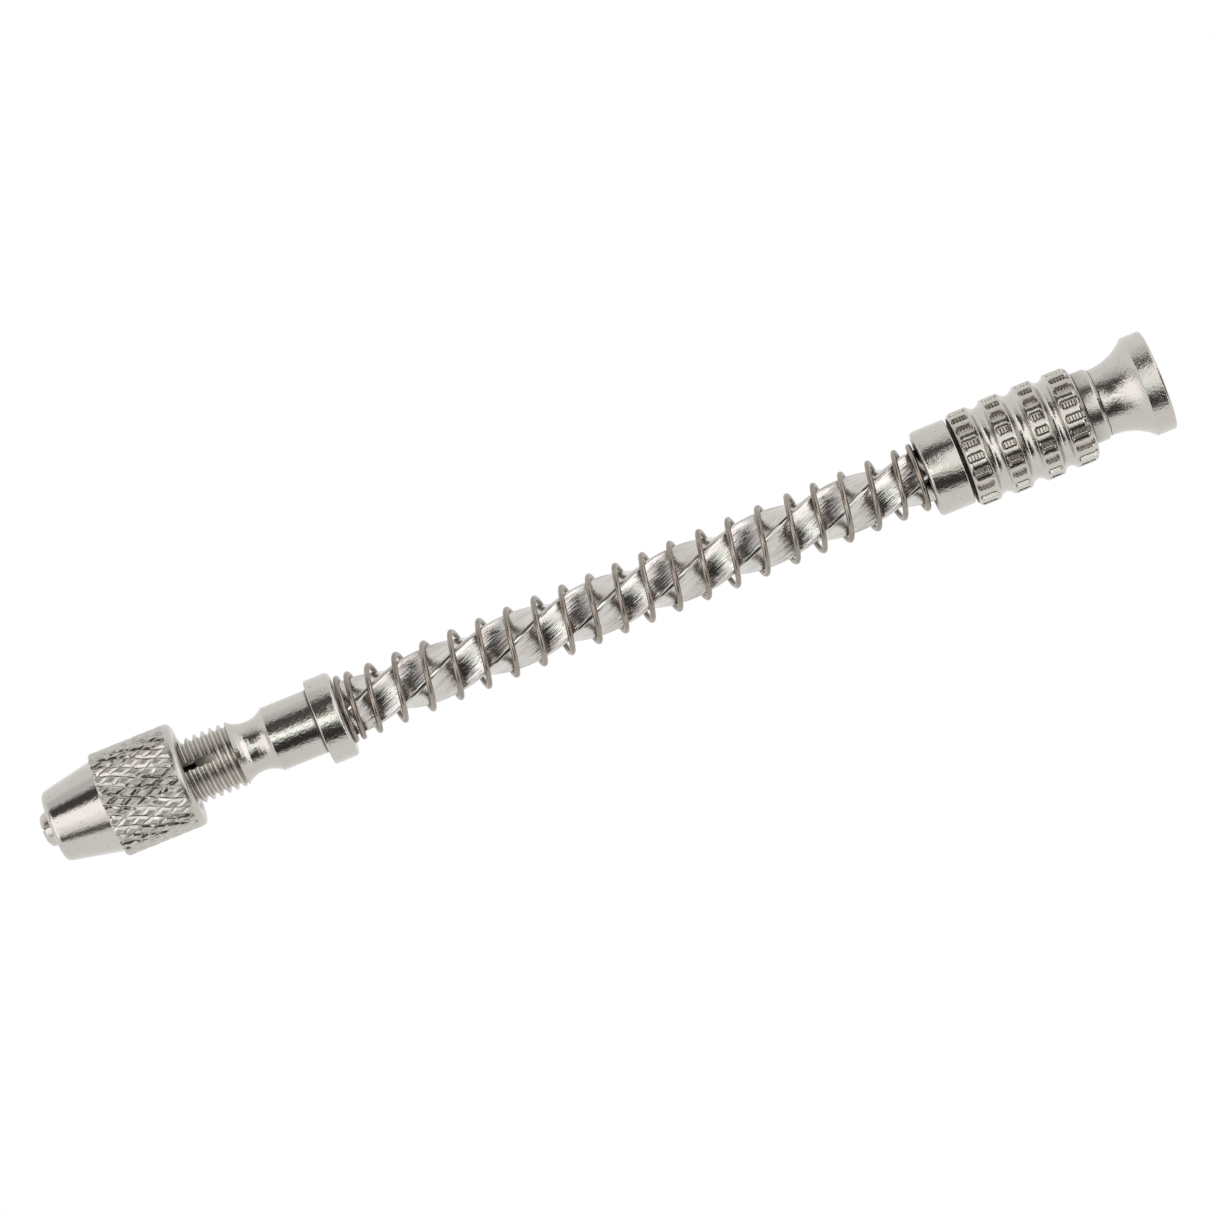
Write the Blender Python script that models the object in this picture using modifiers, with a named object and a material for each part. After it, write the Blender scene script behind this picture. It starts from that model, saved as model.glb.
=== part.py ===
"""Miniature spiral push drill with a return spring.

The drill lies on its side. Its axis runs along +X, from the collet's tip to the palm cap, and the
surface that it lies on is z = 0. Every piece is modelled upright, its own Z being the distance from
the collet's tip, and an empty at the tip lays them all down together. The empty's axis is the axis
of every joint: the slider's slide, the spindle's and the chuck nut's turn, and the collet's slide.

Outlines of turned pieces are lists of (radius, station) in millimetres, run from the top of the
outer side to its bottom, and then up the bore where there is one.
"""

import math

import bmesh
import bpy
from mathutils import Matrix, Vector

# ---------------------------------------------------------------- driving dimensions, in millimetres
MM = 0.001
MODEL = "spiral_push_drill"
LENGTH = 106.0
SIDES = 24
GAP = 0.03
RUNNING_GAP = 0.08
MERGE_DISTANCE = 1e-7
ARC_STEPS = 5

# chuck nut: conical nose, knurled band, rear chamfer
NUT_FRONT = 0.93
NUT_KNURL_START = 6.13
NUT_KNURL_END = 13.19
NUT_REAR = 13.76
NUT_RADIUS = 4.81
NUT_NOSE_RADIUS = 3.24
NUT_CONE_RADIUS = 4.35
NUT_MOUTH_RADIUS = 1.76
NUT_TAPER_END = 4.5
NUT_TAPER_RADIUS = 3.05

# collet: split jaws, shoulder and tail
COLLET_TIP_RADIUS = 1.08
COLLET_EDGE_RADIUS = 1.43
COLLET_MOUTH_RADIUS = 1.66
COLLET_HEAD_RADIUS = 2.62
COLLET_HEAD_START = 3.75
COLLET_HEAD_END = 6.3
COLLET_TAIL_RADIUS = 1.5
COLLET_TAIL_END = 13.5
COLLET_BORE_RADIUS = 0.5
COLLET_SLIT_WIDTH = 0.32
COLLET_SLIT_END = 9.5

# chuck body: threaded stud, neck, cylinder
STUD_FRONT = 7.2
STUD_BORE_RADIUS = 1.6
STUD_BORE_END = 15.3
THREAD_PITCH = 0.75
THREAD_RADIUS = 3.0
THREAD_ROOT_RADIUS = 2.54
THREAD_PLAIN_RADIUS = 2.9
THREAD_TURNS = 11
THREAD_END = 18.39
SLOT_WIDTH = 0.73
SLOT_END = 17.1
SLOT_TILT = -11.0
NECK_RADIUS = 2.32
NECK_ARC_RADIUS = 2.5
NECK_STATION = 20.07
BODY_START = 21.74
BODY_END = 26.06
BODY_RADIUS = 2.96
TENON_RADIUS = 1.8
TENON_START = 22.5

# spring seat flange
SEAT_FRONT = BODY_END + GAP
SEAT_REAR = 28.6
SEAT_RADIUS = 3.94
SEAT_FACE_RADIUS = 3.4
SEAT_CHAMFER = 0.62

# twisted shaft: left-handed square bar with blunted corners
TWIST_START = SEAT_REAR + GAP
TWIST_END = 98.84
TWIST_LEAD = 31.57
TWIST_CROSSING = 52.95
CORNER_RADIUS = 2.47
CORNER_HALF_ANGLE = 3.6
TWIST_STEPS_PER_TURN = 30
JOURNAL_RADIUS = 1.6
JOURNAL_END = 104.62
SCREW_HOLE_RADIUS = 0.83
SCREW_HOLE_START = 101.2

# return spring
WIRE_RADIUS = 0.25
COIL_RADIUS = 2.85
SPRING_START = SEAT_REAR + GAP + WIRE_RADIUS
SPRING_END = 83.83 - GAP - WIRE_RADIUS
CLOSED_PITCH = 0.56
SPRING_TURNS = 22.7
SPRING_PHASE = 103.0
SEAT_CLOSED_TURNS = 0.5
SEAT_RAMP_TURNS = 2.5
NOSE_CLOSED_TURNS = 0.25
NOSE_RAMP_TURNS = 1.15
POINTS_PER_COIL = 12

# slider: nose bush, grip sleeve, drive nut, rear bush
NOSE_FRONT = 83.83
NOSE_REAR = 87.05
NOSE_RADIUS = 3.97
NOSE_BORE_RADIUS = 2.75
NOSE_STEM_END = 90.0
STEM_RADIUS = 3.35
GRIP_FRONT = 87.32
GRIP_REAR = 98.79
GRIP_BORE_RADIUS = 3.38
GRIP_FLOOR_RADIUS = 3.88
RINGS = (
    (87.32, 89.26, 4.35),
    (90.60, 92.26, 4.45),
    (93.72, 95.35, 4.45),
    (96.61, 98.79, 4.37),
)
RING_CHAMFER = 0.35
DRIVE_FRONT = 90.1
DRIVE_REAR = 95.9
DRIVE_CLEARANCE = 0.1
HOLE_STEPS_PER_TURN = 48
BUSH_FRONT = 96.0
BUSH_REAR = 98.74
BUSH_BORE_RADIUS = 2.6

# stop collar and palm cap
COLLAR_FRONT = 98.88
COLLAR_REAR = 100.37
COLLAR_RADIUS = 3.32
COLLAR_CHAMFER = 0.2
CAP_FRONT = 100.42
CAP_NECK_RADIUS = 3.1
FLARE_START = 100.6
FLARE_END = 104.2
CAP_RADIUS = 4.62
CAP_BORE_RADIUS = JOURNAL_RADIUS + RUNNING_GAP
RECESS_RADIUS = 2.7
RECESS_START = 104.7
CAP_EDGE = 0.25
WASHER_RADIUS = 2.45
WASHER_START = RECESS_START + GAP
WASHER_END = 105.0
WASHER_BORE_RADIUS = 0.9
SCREW_HEAD_START = WASHER_END + GAP
SCREW_HEAD_END = 105.7
SCREW_HEAD_RADIUS = 1.9
SCREW_RADIUS = 0.8
SCREW_START = 101.6
SCREW_SLOT_WIDTH = 0.4
SCREW_SLOT_DEPTH = 0.35

AXIS_HEIGHT = NUT_RADIUS * math.cos(math.pi / SIDES)

# ---------------------------------------------------------------- finishes: colour, roughness, metallic
NICKEL = ((0.62, 0.60, 0.58), 0.22, 1.0)
BRIGHT_NICKEL = ((0.70, 0.69, 0.67), 0.16, 1.0)
SPRING_STEEL = ((0.30, 0.27, 0.24), 0.34, 1.0)
BRASS = ((0.62, 0.47, 0.22), 0.35, 1.0)
DARK_STEEL = ((0.22, 0.21, 0.20), 0.40, 1.0)


# ---------------------------------------------------------------- helpers
def clear_scene():
    """Remove everything that the file starts with."""
    for obj in list(bpy.data.objects):
        bpy.data.objects.remove(obj, do_unlink=True)


def new_collection(name):
    """A collection linked to the scene."""
    collection = bpy.data.collections.new(name)
    bpy.context.scene.collection.children.link(collection)
    return collection


def metal(name, finish):
    """A Principled material from a finish's colour, roughness and metallic value."""
    colour, roughness, metallic = finish
    material = bpy.data.materials.new(name)
    material.use_nodes = True
    shader = material.node_tree.nodes["Principled BSDF"]
    shader.inputs["Base Color"].default_value = (*colour, 1.0)
    shader.inputs["Roughness"].default_value = roughness
    shader.inputs["Metallic"].default_value = metallic
    return material


def add_object(name, data, finish):
    """Put mesh or curve data in the model, on the tool's axis, with its own material."""
    obj = bpy.data.objects.new(name, data)
    PARTS.objects.link(obj)
    obj.parent = TOOL_AXIS
    obj.data.materials.append(metal(name + "_finish", finish))
    return obj


def add_cutter(obj):
    """Move an object to the cutters, where it is drawn as wire and not rendered."""
    for collection in list(obj.users_collection):
        collection.objects.unlink(obj)
    CUTTERS.objects.link(obj)
    obj.parent = TOOL_AXIS
    obj.hide_render = True
    obj.display_type = "WIRE"
    return obj


def outline_mesh(name, outline, closed):
    """An outline of (radius, station) points in millimetres, as edges in the XZ plane."""
    mesh = bpy.data.meshes.new(name)
    points = [(radius * MM, 0.0, station * MM) for radius, station in outline]
    edges = [(i, i + 1) for i in range(len(points) - 1)]
    if closed:
        edges.append((len(points) - 1, 0))
    mesh.from_pydata(points, edges, [])
    return mesh


def spin_modifier(obj, sides=SIDES):
    """Turn an outline once round its own Z axis."""
    spin = obj.modifiers.new("turn", "SCREW")
    spin.axis = "Z"
    spin.angle = math.tau
    spin.steps = sides
    spin.render_steps = sides
    spin.use_merge_vertices = True
    spin.merge_threshold = MERGE_DISTANCE
    spin.use_smooth_shade = False
    return spin


def turned(name, outline, finish, bored=True, sides=SIDES):
    """A turned piece. A bored outline closes on itself, and a solid one starts and ends on the axis."""
    obj = add_object(name, outline_mesh(name, outline, bored), finish)
    obj.rotation_euler.z = math.pi / sides
    spin_modifier(obj, sides)
    return obj


def cut(target, cutter):
    """Take a cutter's shape away from a piece."""
    boolean = target.modifiers.new("cut_" + cutter.name, "BOOLEAN")
    boolean.operation = "DIFFERENCE"
    boolean.solver = "EXACT"
    boolean.object = cutter


def box_cutter(name, size, centre, tilt):
    """A box of (x, y, z) millimetres at a station on the axis, turned about the axis by degrees."""
    mesh = bpy.data.meshes.new(name)
    cage = bmesh.new()
    bmesh.ops.create_cube(cage, size=1.0)
    bmesh.ops.scale(cage, vec=Vector(size) * MM, verts=cage.verts)
    bmesh.ops.translate(cage, vec=Vector((0.0, 0.0, centre * MM)), verts=cage.verts)
    cage.to_mesh(mesh)
    cage.free()
    obj = bpy.data.objects.new(name, mesh)
    add_cutter(obj)
    obj.rotation_euler.z = math.radians(tilt)
    return obj


def arc(centre, radius, start, end, steps=ARC_STEPS):
    """Points of an arc in an outline's plane, from a start to an end angle in degrees."""
    points = []
    for i in range(steps + 1):
        angle = math.radians(start + (end - start) * i / steps)
        points.append((centre[0] + radius * math.cos(angle), centre[1] + radius * math.sin(angle)))
    return points


def hollow_between(low, high, edge_radius, floor_radius, steps=4):
    """The points of a shallow rounded groove, from its high station down to its low one."""
    middle = (low + high) / 2
    half = (high - low) / 2
    points = []
    for i in range(1, steps):
        offset = half * math.cos(math.pi * i / steps)
        depth = (edge_radius - floor_radius) * math.sin(math.pi * i / steps)
        points.append((edge_radius - depth, middle + offset))
    return points


def lofted(name, sections, finish):
    """A solid through closed sections of equal point counts, capped at both ends."""
    mesh = bpy.data.meshes.new(name)
    cage = bmesh.new()
    rings = [[cage.verts.new(Vector(point) * MM) for point in section] for section in sections]
    count = len(rings[0])
    for lower, upper in zip(rings, rings[1:]):
        for i in range(count):
            j = (i + 1) % count
            cage.faces.new((lower[i], lower[j], upper[j], upper[i]))
    cage.faces.new(list(reversed(rings[0])))
    cage.faces.new(rings[-1])
    bmesh.ops.recalc_face_normals(cage, faces=cage.faces)
    cage.to_mesh(mesh)
    cage.free()
    return add_object(name, mesh, finish)


# ---------------------------------------------------------------- the twisted square
def twist_angle(station):
    """Turn of the square at a station, in radians. Seen along +X it turns back as it advances."""
    return -math.tau * (station - TWIST_CROSSING) / TWIST_LEAD


def square_angles():
    """Angles of a section's points: two for each blunted corner, and two along each flat."""
    blunt = math.radians(CORNER_HALF_ANGLE)
    step = (math.pi / 2 - 2 * blunt) / 3
    offsets = (-blunt, blunt, blunt + step, blunt + 2 * step)
    return [quarter * math.pi / 2 + offset for quarter in range(4) for offset in offsets]


def square_radius(angle, growth=0.0):
    """Distance from the axis to the blunted square's edge at an angle from a corner."""
    flat = CORNER_RADIUS * math.cos(math.pi / 4 - math.radians(CORNER_HALF_ANGLE))
    from_flat = (angle % (math.pi / 2)) - math.pi / 4
    return min((flat + growth) / math.cos(from_flat), CORNER_RADIUS + growth)


def square_section(station, growth=0.0):
    """The twisted square's section at a station. Its zero angle points up in the finished pose."""
    turn = twist_angle(station)
    points = []
    for angle in square_angles():
        radius = square_radius(angle, growth)
        points.append(upward_point(radius, angle + turn, station))
    return points


def round_section(station, radius, turn):
    """A round section whose points face those of the square at the same turn."""
    return [upward_point(radius, angle + turn, station) for angle in square_angles()]


def upward_point(radius, angle, station):
    """A point at an angle about the axis, counted from the top of the finished drill."""
    return (-radius * math.cos(angle), -radius * math.sin(angle), station)


def twist_stations(start, end, steps_per_turn):
    """Evenly spaced stations, close enough together for the twist."""
    count = math.ceil((end - start) / TWIST_LEAD * steps_per_turn)
    return [start + (end - start) * i / count for i in range(count + 1)]


# ---------------------------------------------------------------- chuck
def make_chuck_nut():
    """Conical nose, plain band where the knurl is, and a chamfered rear, with a tapered bore."""
    bore = THREAD_RADIUS + GAP
    outline = [
        (NUT_RADIUS - 0.9, NUT_REAR),
        (NUT_RADIUS - 0.25, NUT_REAR - 0.2),
        (NUT_RADIUS, NUT_KNURL_END),
        (NUT_RADIUS, NUT_KNURL_START),
        (NUT_CONE_RADIUS, NUT_KNURL_START),
        (NUT_NOSE_RADIUS, NUT_FRONT + 0.42),
        (NUT_NOSE_RADIUS - 0.15, NUT_FRONT + 0.12),
        (NUT_NOSE_RADIUS - 0.45, NUT_FRONT),
        (NUT_MOUTH_RADIUS, NUT_FRONT),
        (NUT_TAPER_RADIUS, NUT_TAPER_END),
        (bore, NUT_TAPER_END + 0.3),
        (bore, NUT_REAR),
    ]
    turned("chuck_nut", outline, NICKEL)


def make_collet():
    """Split jaws with a tapered head, and a plain tail that slides in the stud."""
    outline = [
        (COLLET_TAIL_RADIUS, COLLET_TAIL_END),
        (COLLET_TAIL_RADIUS, COLLET_HEAD_END),
        (COLLET_HEAD_RADIUS, COLLET_HEAD_END),
        (COLLET_HEAD_RADIUS, COLLET_HEAD_START),
        (COLLET_MOUTH_RADIUS, NUT_FRONT),
        (COLLET_EDGE_RADIUS, 0.35),
        (COLLET_EDGE_RADIUS - 0.12, 0.1),
        (COLLET_TIP_RADIUS, 0.0),
        (COLLET_BORE_RADIUS, 0.0),
        (COLLET_BORE_RADIUS, COLLET_TAIL_END),
    ]
    collet = turned("collet", outline, BRIGHT_NICKEL)
    size = (8.0, COLLET_SLIT_WIDTH, 2 * COLLET_SLIT_END)
    for name, tilt in (("collet_slit_a", SLOT_TILT), ("collet_slit_b", SLOT_TILT + 90.0)):
        cut(collet, box_cutter(name, size, 0.0, tilt))


def thread_outline():
    """The thread's crests and roots, from its last crest back to the plain front of the stud."""
    points = []
    for i in range(THREAD_TURNS):
        crest = THREAD_END - i * THREAD_PITCH
        points.append((THREAD_RADIUS, crest))
        points.append((THREAD_ROOT_RADIUS, crest - THREAD_PITCH / 2))
    start = THREAD_END - THREAD_TURNS * THREAD_PITCH
    points.append((THREAD_PLAIN_RADIUS, start))
    return points


def make_chuck_body():
    """Slotted threaded stud, undercut neck and cylinder, bored from both ends."""
    neck = arc((NECK_RADIUS + NECK_ARC_RADIUS, NECK_STATION), NECK_ARC_RADIUS, 138.5, 221.5)
    outline = [
        (0.0, TENON_START),
        (TENON_RADIUS + GAP, TENON_START),
        (TENON_RADIUS + GAP, BODY_END),
        (BODY_RADIUS - 0.1, BODY_END),
        (BODY_RADIUS, BODY_END - 0.1),
        (BODY_RADIUS, BODY_START),
        *neck,
        *thread_outline(),
        (THREAD_PLAIN_RADIUS, STUD_FRONT + 0.3),
        (THREAD_PLAIN_RADIUS - 0.3, STUD_FRONT),
        (STUD_BORE_RADIUS, STUD_FRONT),
        (STUD_BORE_RADIUS, STUD_BORE_END),
        (0.0, STUD_BORE_END),
    ]
    body = turned("chuck_body", outline, NICKEL, bored=False)
    length = 2 * (SLOT_END - STUD_FRONT)
    slot = box_cutter("stud_slot", (8.0, SLOT_WIDTH, length), STUD_FRONT, SLOT_TILT)
    cut(body, slot)


# ---------------------------------------------------------------- spindle
def make_spring_seat():
    """The flange ring that the return spring stands on."""
    bore = TENON_RADIUS + GAP
    outline = [
        (SEAT_FACE_RADIUS, SEAT_REAR),
        (SEAT_RADIUS, SEAT_REAR - SEAT_CHAMFER),
        (SEAT_RADIUS, SEAT_FRONT + 0.08),
        (SEAT_RADIUS - 0.08, SEAT_FRONT),
        (bore, SEAT_FRONT),
        (bore, SEAT_REAR),
    ]
    turned("spring_seat", outline, NICKEL)


def make_twisted_shaft():
    """Round tenon, twisted square bar, and a round journal with the screw's hole in its end."""
    first_turn = twist_angle(TWIST_START)
    last_turn = twist_angle(TWIST_END)
    sections = [
        round_section(TENON_START + GAP, TENON_RADIUS, first_turn),
        round_section(TWIST_START, TENON_RADIUS, first_turn),
    ]
    stations = twist_stations(TWIST_START, TWIST_END, TWIST_STEPS_PER_TURN)
    sections += [square_section(station) for station in stations]
    journal = [
        (TWIST_END, JOURNAL_RADIUS),
        (JOURNAL_END, JOURNAL_RADIUS),
        (JOURNAL_END, SCREW_HOLE_RADIUS),
        (SCREW_HOLE_START, SCREW_HOLE_RADIUS),
    ]
    sections += [round_section(station, radius, last_turn) for station, radius in journal]
    lofted("twisted_shaft", sections, BRIGHT_NICKEL)


def ramp(share):
    """A smooth rise from 0 to 1."""
    share = max(0.0, min(1.0, share))
    return share * share * (3.0 - 2.0 * share)


def openness(turn):
    """How open the spring is at a turn: 0 in its closed ends, 1 between them."""
    from_seat = ramp((turn - SEAT_CLOSED_TURNS) / SEAT_RAMP_TURNS)
    from_nose = ramp((SPRING_TURNS - turn - NOSE_CLOSED_TURNS) / NOSE_RAMP_TURNS)
    return from_seat * from_nose


def spring_points():
    """Points of a left-handed coil that fills the room between the seat and the slider."""
    count = round(SPRING_TURNS * POINTS_PER_COIL)
    step = SPRING_TURNS / count
    shares = [openness((i + 0.5) * step) * step for i in range(count)]
    room = SPRING_END - SPRING_START - CLOSED_PITCH * SPRING_TURNS
    opening = room / sum(shares)
    station = SPRING_START
    points = [upward_point(COIL_RADIUS, math.radians(SPRING_PHASE), station)]
    for i, share in enumerate(shares):
        station += CLOSED_PITCH * step + share * opening
        angle = math.radians(SPRING_PHASE) - math.tau * (i + 1) * step
        points.append(upward_point(COIL_RADIUS, angle, station))
    return points


def make_return_spring():
    """One wire along the coil's points."""
    curve = bpy.data.curves.new("return_spring", "CURVE")
    curve.dimensions = "3D"
    curve.bevel_depth = WIRE_RADIUS * MM
    curve.bevel_resolution = 2
    curve.use_fill_caps = True
    spline = curve.splines.new("POLY")
    points = spring_points()
    spline.points.add(len(points) - 1)
    for point, place in zip(spline.points, points):
        point.co = (place[0] * MM, place[1] * MM, place[2] * MM, 1.0)
    add_object("return_spring", curve, SPRING_STEEL)


def make_stop_collar():
    """The collar on the journal that the slider stops against."""
    bore = JOURNAL_RADIUS + GAP
    outline = [
        (COLLAR_RADIUS - COLLAR_CHAMFER, COLLAR_REAR),
        (COLLAR_RADIUS, COLLAR_REAR - COLLAR_CHAMFER),
        (COLLAR_RADIUS, COLLAR_FRONT),
        (bore, COLLAR_FRONT),
        (bore, COLLAR_REAR),
    ]
    turned("stop_collar", outline, NICKEL)


# ---------------------------------------------------------------- slider
def make_slide_nose():
    """The plain shouldered bush at the front of the grip, with a stem inside it."""
    outline = [
        (STEM_RADIUS, NOSE_STEM_END),
        (STEM_RADIUS, NOSE_REAR),
        (NOSE_RADIUS - 0.12, NOSE_REAR),
        (NOSE_RADIUS, NOSE_REAR - 0.12),
        (NOSE_RADIUS, NOSE_FRONT + 0.3),
        (NOSE_RADIUS - 0.1, NOSE_FRONT + 0.1),
        (NOSE_RADIUS - 0.3, NOSE_FRONT),
        (NOSE_BORE_RADIUS, NOSE_FRONT),
        (NOSE_BORE_RADIUS, NOSE_STEM_END),
    ]
    turned("slide_nose", outline, NICKEL)


def make_grip_sleeve():
    """The sleeve with four raised rings and three rounded grooves."""
    outline = []
    for i in range(len(RINGS) - 1, -1, -1):
        low, high, radius = RINGS[i]
        if i == len(RINGS) - 1:
            outline += [(radius - RING_CHAMFER, high), (radius, high - RING_CHAMFER), (radius, low)]
        elif i == 0:
            outline += [(radius, high), (radius, low + RING_CHAMFER), (radius - RING_CHAMFER, low)]
        else:
            outline += [(radius, high), (radius, low)]
        if i > 0:
            outline += hollow_between(RINGS[i - 1][1], low, radius, GRIP_FLOOR_RADIUS)
    outline += [(GRIP_BORE_RADIUS, GRIP_FRONT), (GRIP_BORE_RADIUS, GRIP_REAR)]
    turned("grip_sleeve", outline, NICKEL)


def make_drive_nut():
    """The bush whose twisted square hole rides on the shaft and makes it spin."""
    outline = [
        (0.0, DRIVE_REAR),
        (STEM_RADIUS, DRIVE_REAR),
        (STEM_RADIUS, DRIVE_FRONT),
        (0.0, DRIVE_FRONT),
    ]
    nut = turned("drive_nut", outline, BRASS, bored=False)
    stations = twist_stations(DRIVE_FRONT - 0.5, DRIVE_REAR + 0.5, HOLE_STEPS_PER_TURN)
    sections = [square_section(station, DRIVE_CLEARANCE) for station in stations]
    hole = lofted("twisted_hole", sections, BRASS)
    cut(nut, add_cutter(hole))


def make_rear_bush():
    """The plain bush that closes the back of the grip."""
    outline = [
        (STEM_RADIUS, BUSH_REAR),
        (STEM_RADIUS, BUSH_FRONT),
        (BUSH_BORE_RADIUS, BUSH_FRONT),
        (BUSH_BORE_RADIUS, BUSH_REAR),
    ]
    turned("rear_bush", outline, BRASS)


# ---------------------------------------------------------------- palm cap
def flare_points():
    """The cap's concave flare, from the rim down to the neck."""
    reach = FLARE_END - FLARE_START
    rise = CAP_RADIUS - CAP_NECK_RADIUS
    radius = (reach * reach + rise * rise) / (2 * rise)
    sweep = math.degrees(math.asin(reach / radius))
    return arc((CAP_NECK_RADIUS + radius, FLARE_START), radius, 180.0 - sweep, 180.0)


def make_palm_cap():
    """The flared cap, bored for the journal, with a recess for the washer and the screw."""
    outline = [
        (CAP_RADIUS - CAP_EDGE, LENGTH),
        (CAP_RADIUS, LENGTH - CAP_EDGE),
        *flare_points(),
        (CAP_NECK_RADIUS, CAP_FRONT),
        (CAP_BORE_RADIUS, CAP_FRONT),
        (CAP_BORE_RADIUS, RECESS_START),
        (RECESS_RADIUS, RECESS_START),
        (RECESS_RADIUS, LENGTH),
    ]
    turned("palm_cap", outline, BRIGHT_NICKEL)


def make_thrust_washer():
    """The washer between the screw's head and the bottom of the cap's recess."""
    outline = [
        (WASHER_RADIUS, WASHER_END),
        (WASHER_RADIUS, WASHER_START),
        (WASHER_BORE_RADIUS, WASHER_START),
        (WASHER_BORE_RADIUS, WASHER_END),
    ]
    turned("thrust_washer", outline, BRASS)


def make_cap_screw():
    """A slotted screw in the journal's end."""
    outline = [
        (0.0, SCREW_HEAD_END),
        (SCREW_HEAD_RADIUS - 0.2, SCREW_HEAD_END),
        (SCREW_HEAD_RADIUS, SCREW_HEAD_END - 0.2),
        (SCREW_HEAD_RADIUS, SCREW_HEAD_START),
        (SCREW_RADIUS, SCREW_HEAD_START),
        (SCREW_RADIUS, SCREW_START),
        (0.0, SCREW_START),
    ]
    screw = turned("cap_screw", outline, DARK_STEEL, bored=False)
    size = (8.0, SCREW_SLOT_WIDTH, 2 * SCREW_SLOT_DEPTH)
    cut(screw, box_cutter("screw_slot", size, SCREW_HEAD_END, 30.0))


# ---------------------------------------------------------------- the model
clear_scene()
PARTS = new_collection(MODEL)
CUTTERS = new_collection("cutters")
TOOL_AXIS = bpy.data.objects.new("tool_axis", None)
PARTS.objects.link(TOOL_AXIS)
TOOL_AXIS.location = (-LENGTH / 2 * MM, 0.0, AXIS_HEIGHT * MM)
TOOL_AXIS.rotation_euler = Matrix.Rotation(math.pi / 2, 4, "Y").to_euler()

make_chuck_nut()
make_collet()
make_chuck_body()
make_spring_seat()
make_twisted_shaft()
make_return_spring()
make_stop_collar()
make_slide_nose()
make_grip_sleeve()
make_drive_nut()
make_rear_bush()
make_palm_cap()
make_thrust_washer()
make_cap_screw()
bpy.context.view_layer.update()
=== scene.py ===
"""Looks of the miniature spiral push drill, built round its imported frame.

Every visible piece is rebuilt here as a fine mesh on the CAD node's own place, and rides on the CAD
body that the node belongs to. Places along the tool are stations: millimetres from the collet's tip
along +X. Angles about the tool's axis are counted from straight up, turning towards -Y.
"""

import math

import bmesh
import bpy
import numpy as np
from mathutils import Matrix, Vector


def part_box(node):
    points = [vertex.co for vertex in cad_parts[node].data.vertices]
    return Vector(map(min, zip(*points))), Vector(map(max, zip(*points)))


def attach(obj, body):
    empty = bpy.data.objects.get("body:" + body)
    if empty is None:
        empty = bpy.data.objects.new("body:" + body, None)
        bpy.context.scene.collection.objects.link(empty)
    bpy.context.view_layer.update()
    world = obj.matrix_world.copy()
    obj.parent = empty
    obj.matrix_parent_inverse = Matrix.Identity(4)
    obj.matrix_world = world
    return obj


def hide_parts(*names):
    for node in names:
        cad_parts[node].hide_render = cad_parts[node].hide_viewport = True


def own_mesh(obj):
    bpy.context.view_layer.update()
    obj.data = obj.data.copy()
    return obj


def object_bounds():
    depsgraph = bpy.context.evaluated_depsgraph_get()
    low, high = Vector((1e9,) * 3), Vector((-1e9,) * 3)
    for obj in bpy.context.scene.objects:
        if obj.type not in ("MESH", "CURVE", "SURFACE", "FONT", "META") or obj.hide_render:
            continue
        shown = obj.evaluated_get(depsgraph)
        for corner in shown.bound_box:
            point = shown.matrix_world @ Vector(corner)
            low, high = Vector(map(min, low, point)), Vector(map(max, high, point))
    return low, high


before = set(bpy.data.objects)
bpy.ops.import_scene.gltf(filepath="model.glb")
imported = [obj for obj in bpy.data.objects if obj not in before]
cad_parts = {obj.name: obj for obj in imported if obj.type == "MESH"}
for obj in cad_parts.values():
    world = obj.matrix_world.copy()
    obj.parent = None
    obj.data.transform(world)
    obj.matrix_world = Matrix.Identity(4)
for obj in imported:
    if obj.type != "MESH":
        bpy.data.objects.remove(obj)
CAD_LOW, CAD_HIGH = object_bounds()

MM = 0.001
TAU = math.tau
TIP_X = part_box("collet")[0].x
CAP_LOW, CAP_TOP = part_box("palm_cap")
AXIS_Z = (CAP_LOW.z + CAP_TOP.z) / 2


def span(node):
    """First and last station of a CAD node."""
    low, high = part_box(node)
    return (low.x - TIP_X) / MM, (high.x - TIP_X) / MM


# ---------------------------------------------------------------- sizes in millimetres and degrees
ROUND_STEPS = 5
LATHE_SIDES = 144
FINE_SIDES = 192
SHARP_ANGLE = 38.0

NUT_FRONT, NUT_REAR = span("chuck_nut")
NUT_RADIUS = 4.81
NUT_CONE_RADIUS = 4.28
NUT_NOSE_RADIUS = 3.22
NUT_KNURL_START = NUT_FRONT + 5.17
NUT_KNURL_END = NUT_REAR - 0.87
NUT_CHAMFER = 0.92
NUT_MOUTH_RADIUS = 1.76
NUT_BORE_RADIUS = 3.04
NUT_BORE_START = NUT_FRONT + 3.6
NUT_BORE_END = NUT_REAR - 0.6
NUT_SINK_RADIUS = 3.6
KNURL_LIP = 0.16
KNURL_LINES = 30
KNURL_SLOPE = 25.0
KNURL_DEPTH = 0.17
KNURL_HALF_WIDTH = 0.28
KNURL_SHARPNESS = 1.15
KNURL_SIDES = 800
KNURL_STEP = 0.045

COLLET_TIP_RADIUS = 1.46
COLLET_RADIUS = 1.5
COLLET_HEAD_RADIUS = 2.62
COLLET_HEAD_START = 3.75
COLLET_HEAD_END = 6.3
COLLET_TAIL_END = 13.5
COLLET_BORE_RADIUS = 0.5
SLIT_SIZE = (19.0, 0.32, 8.0)

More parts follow.
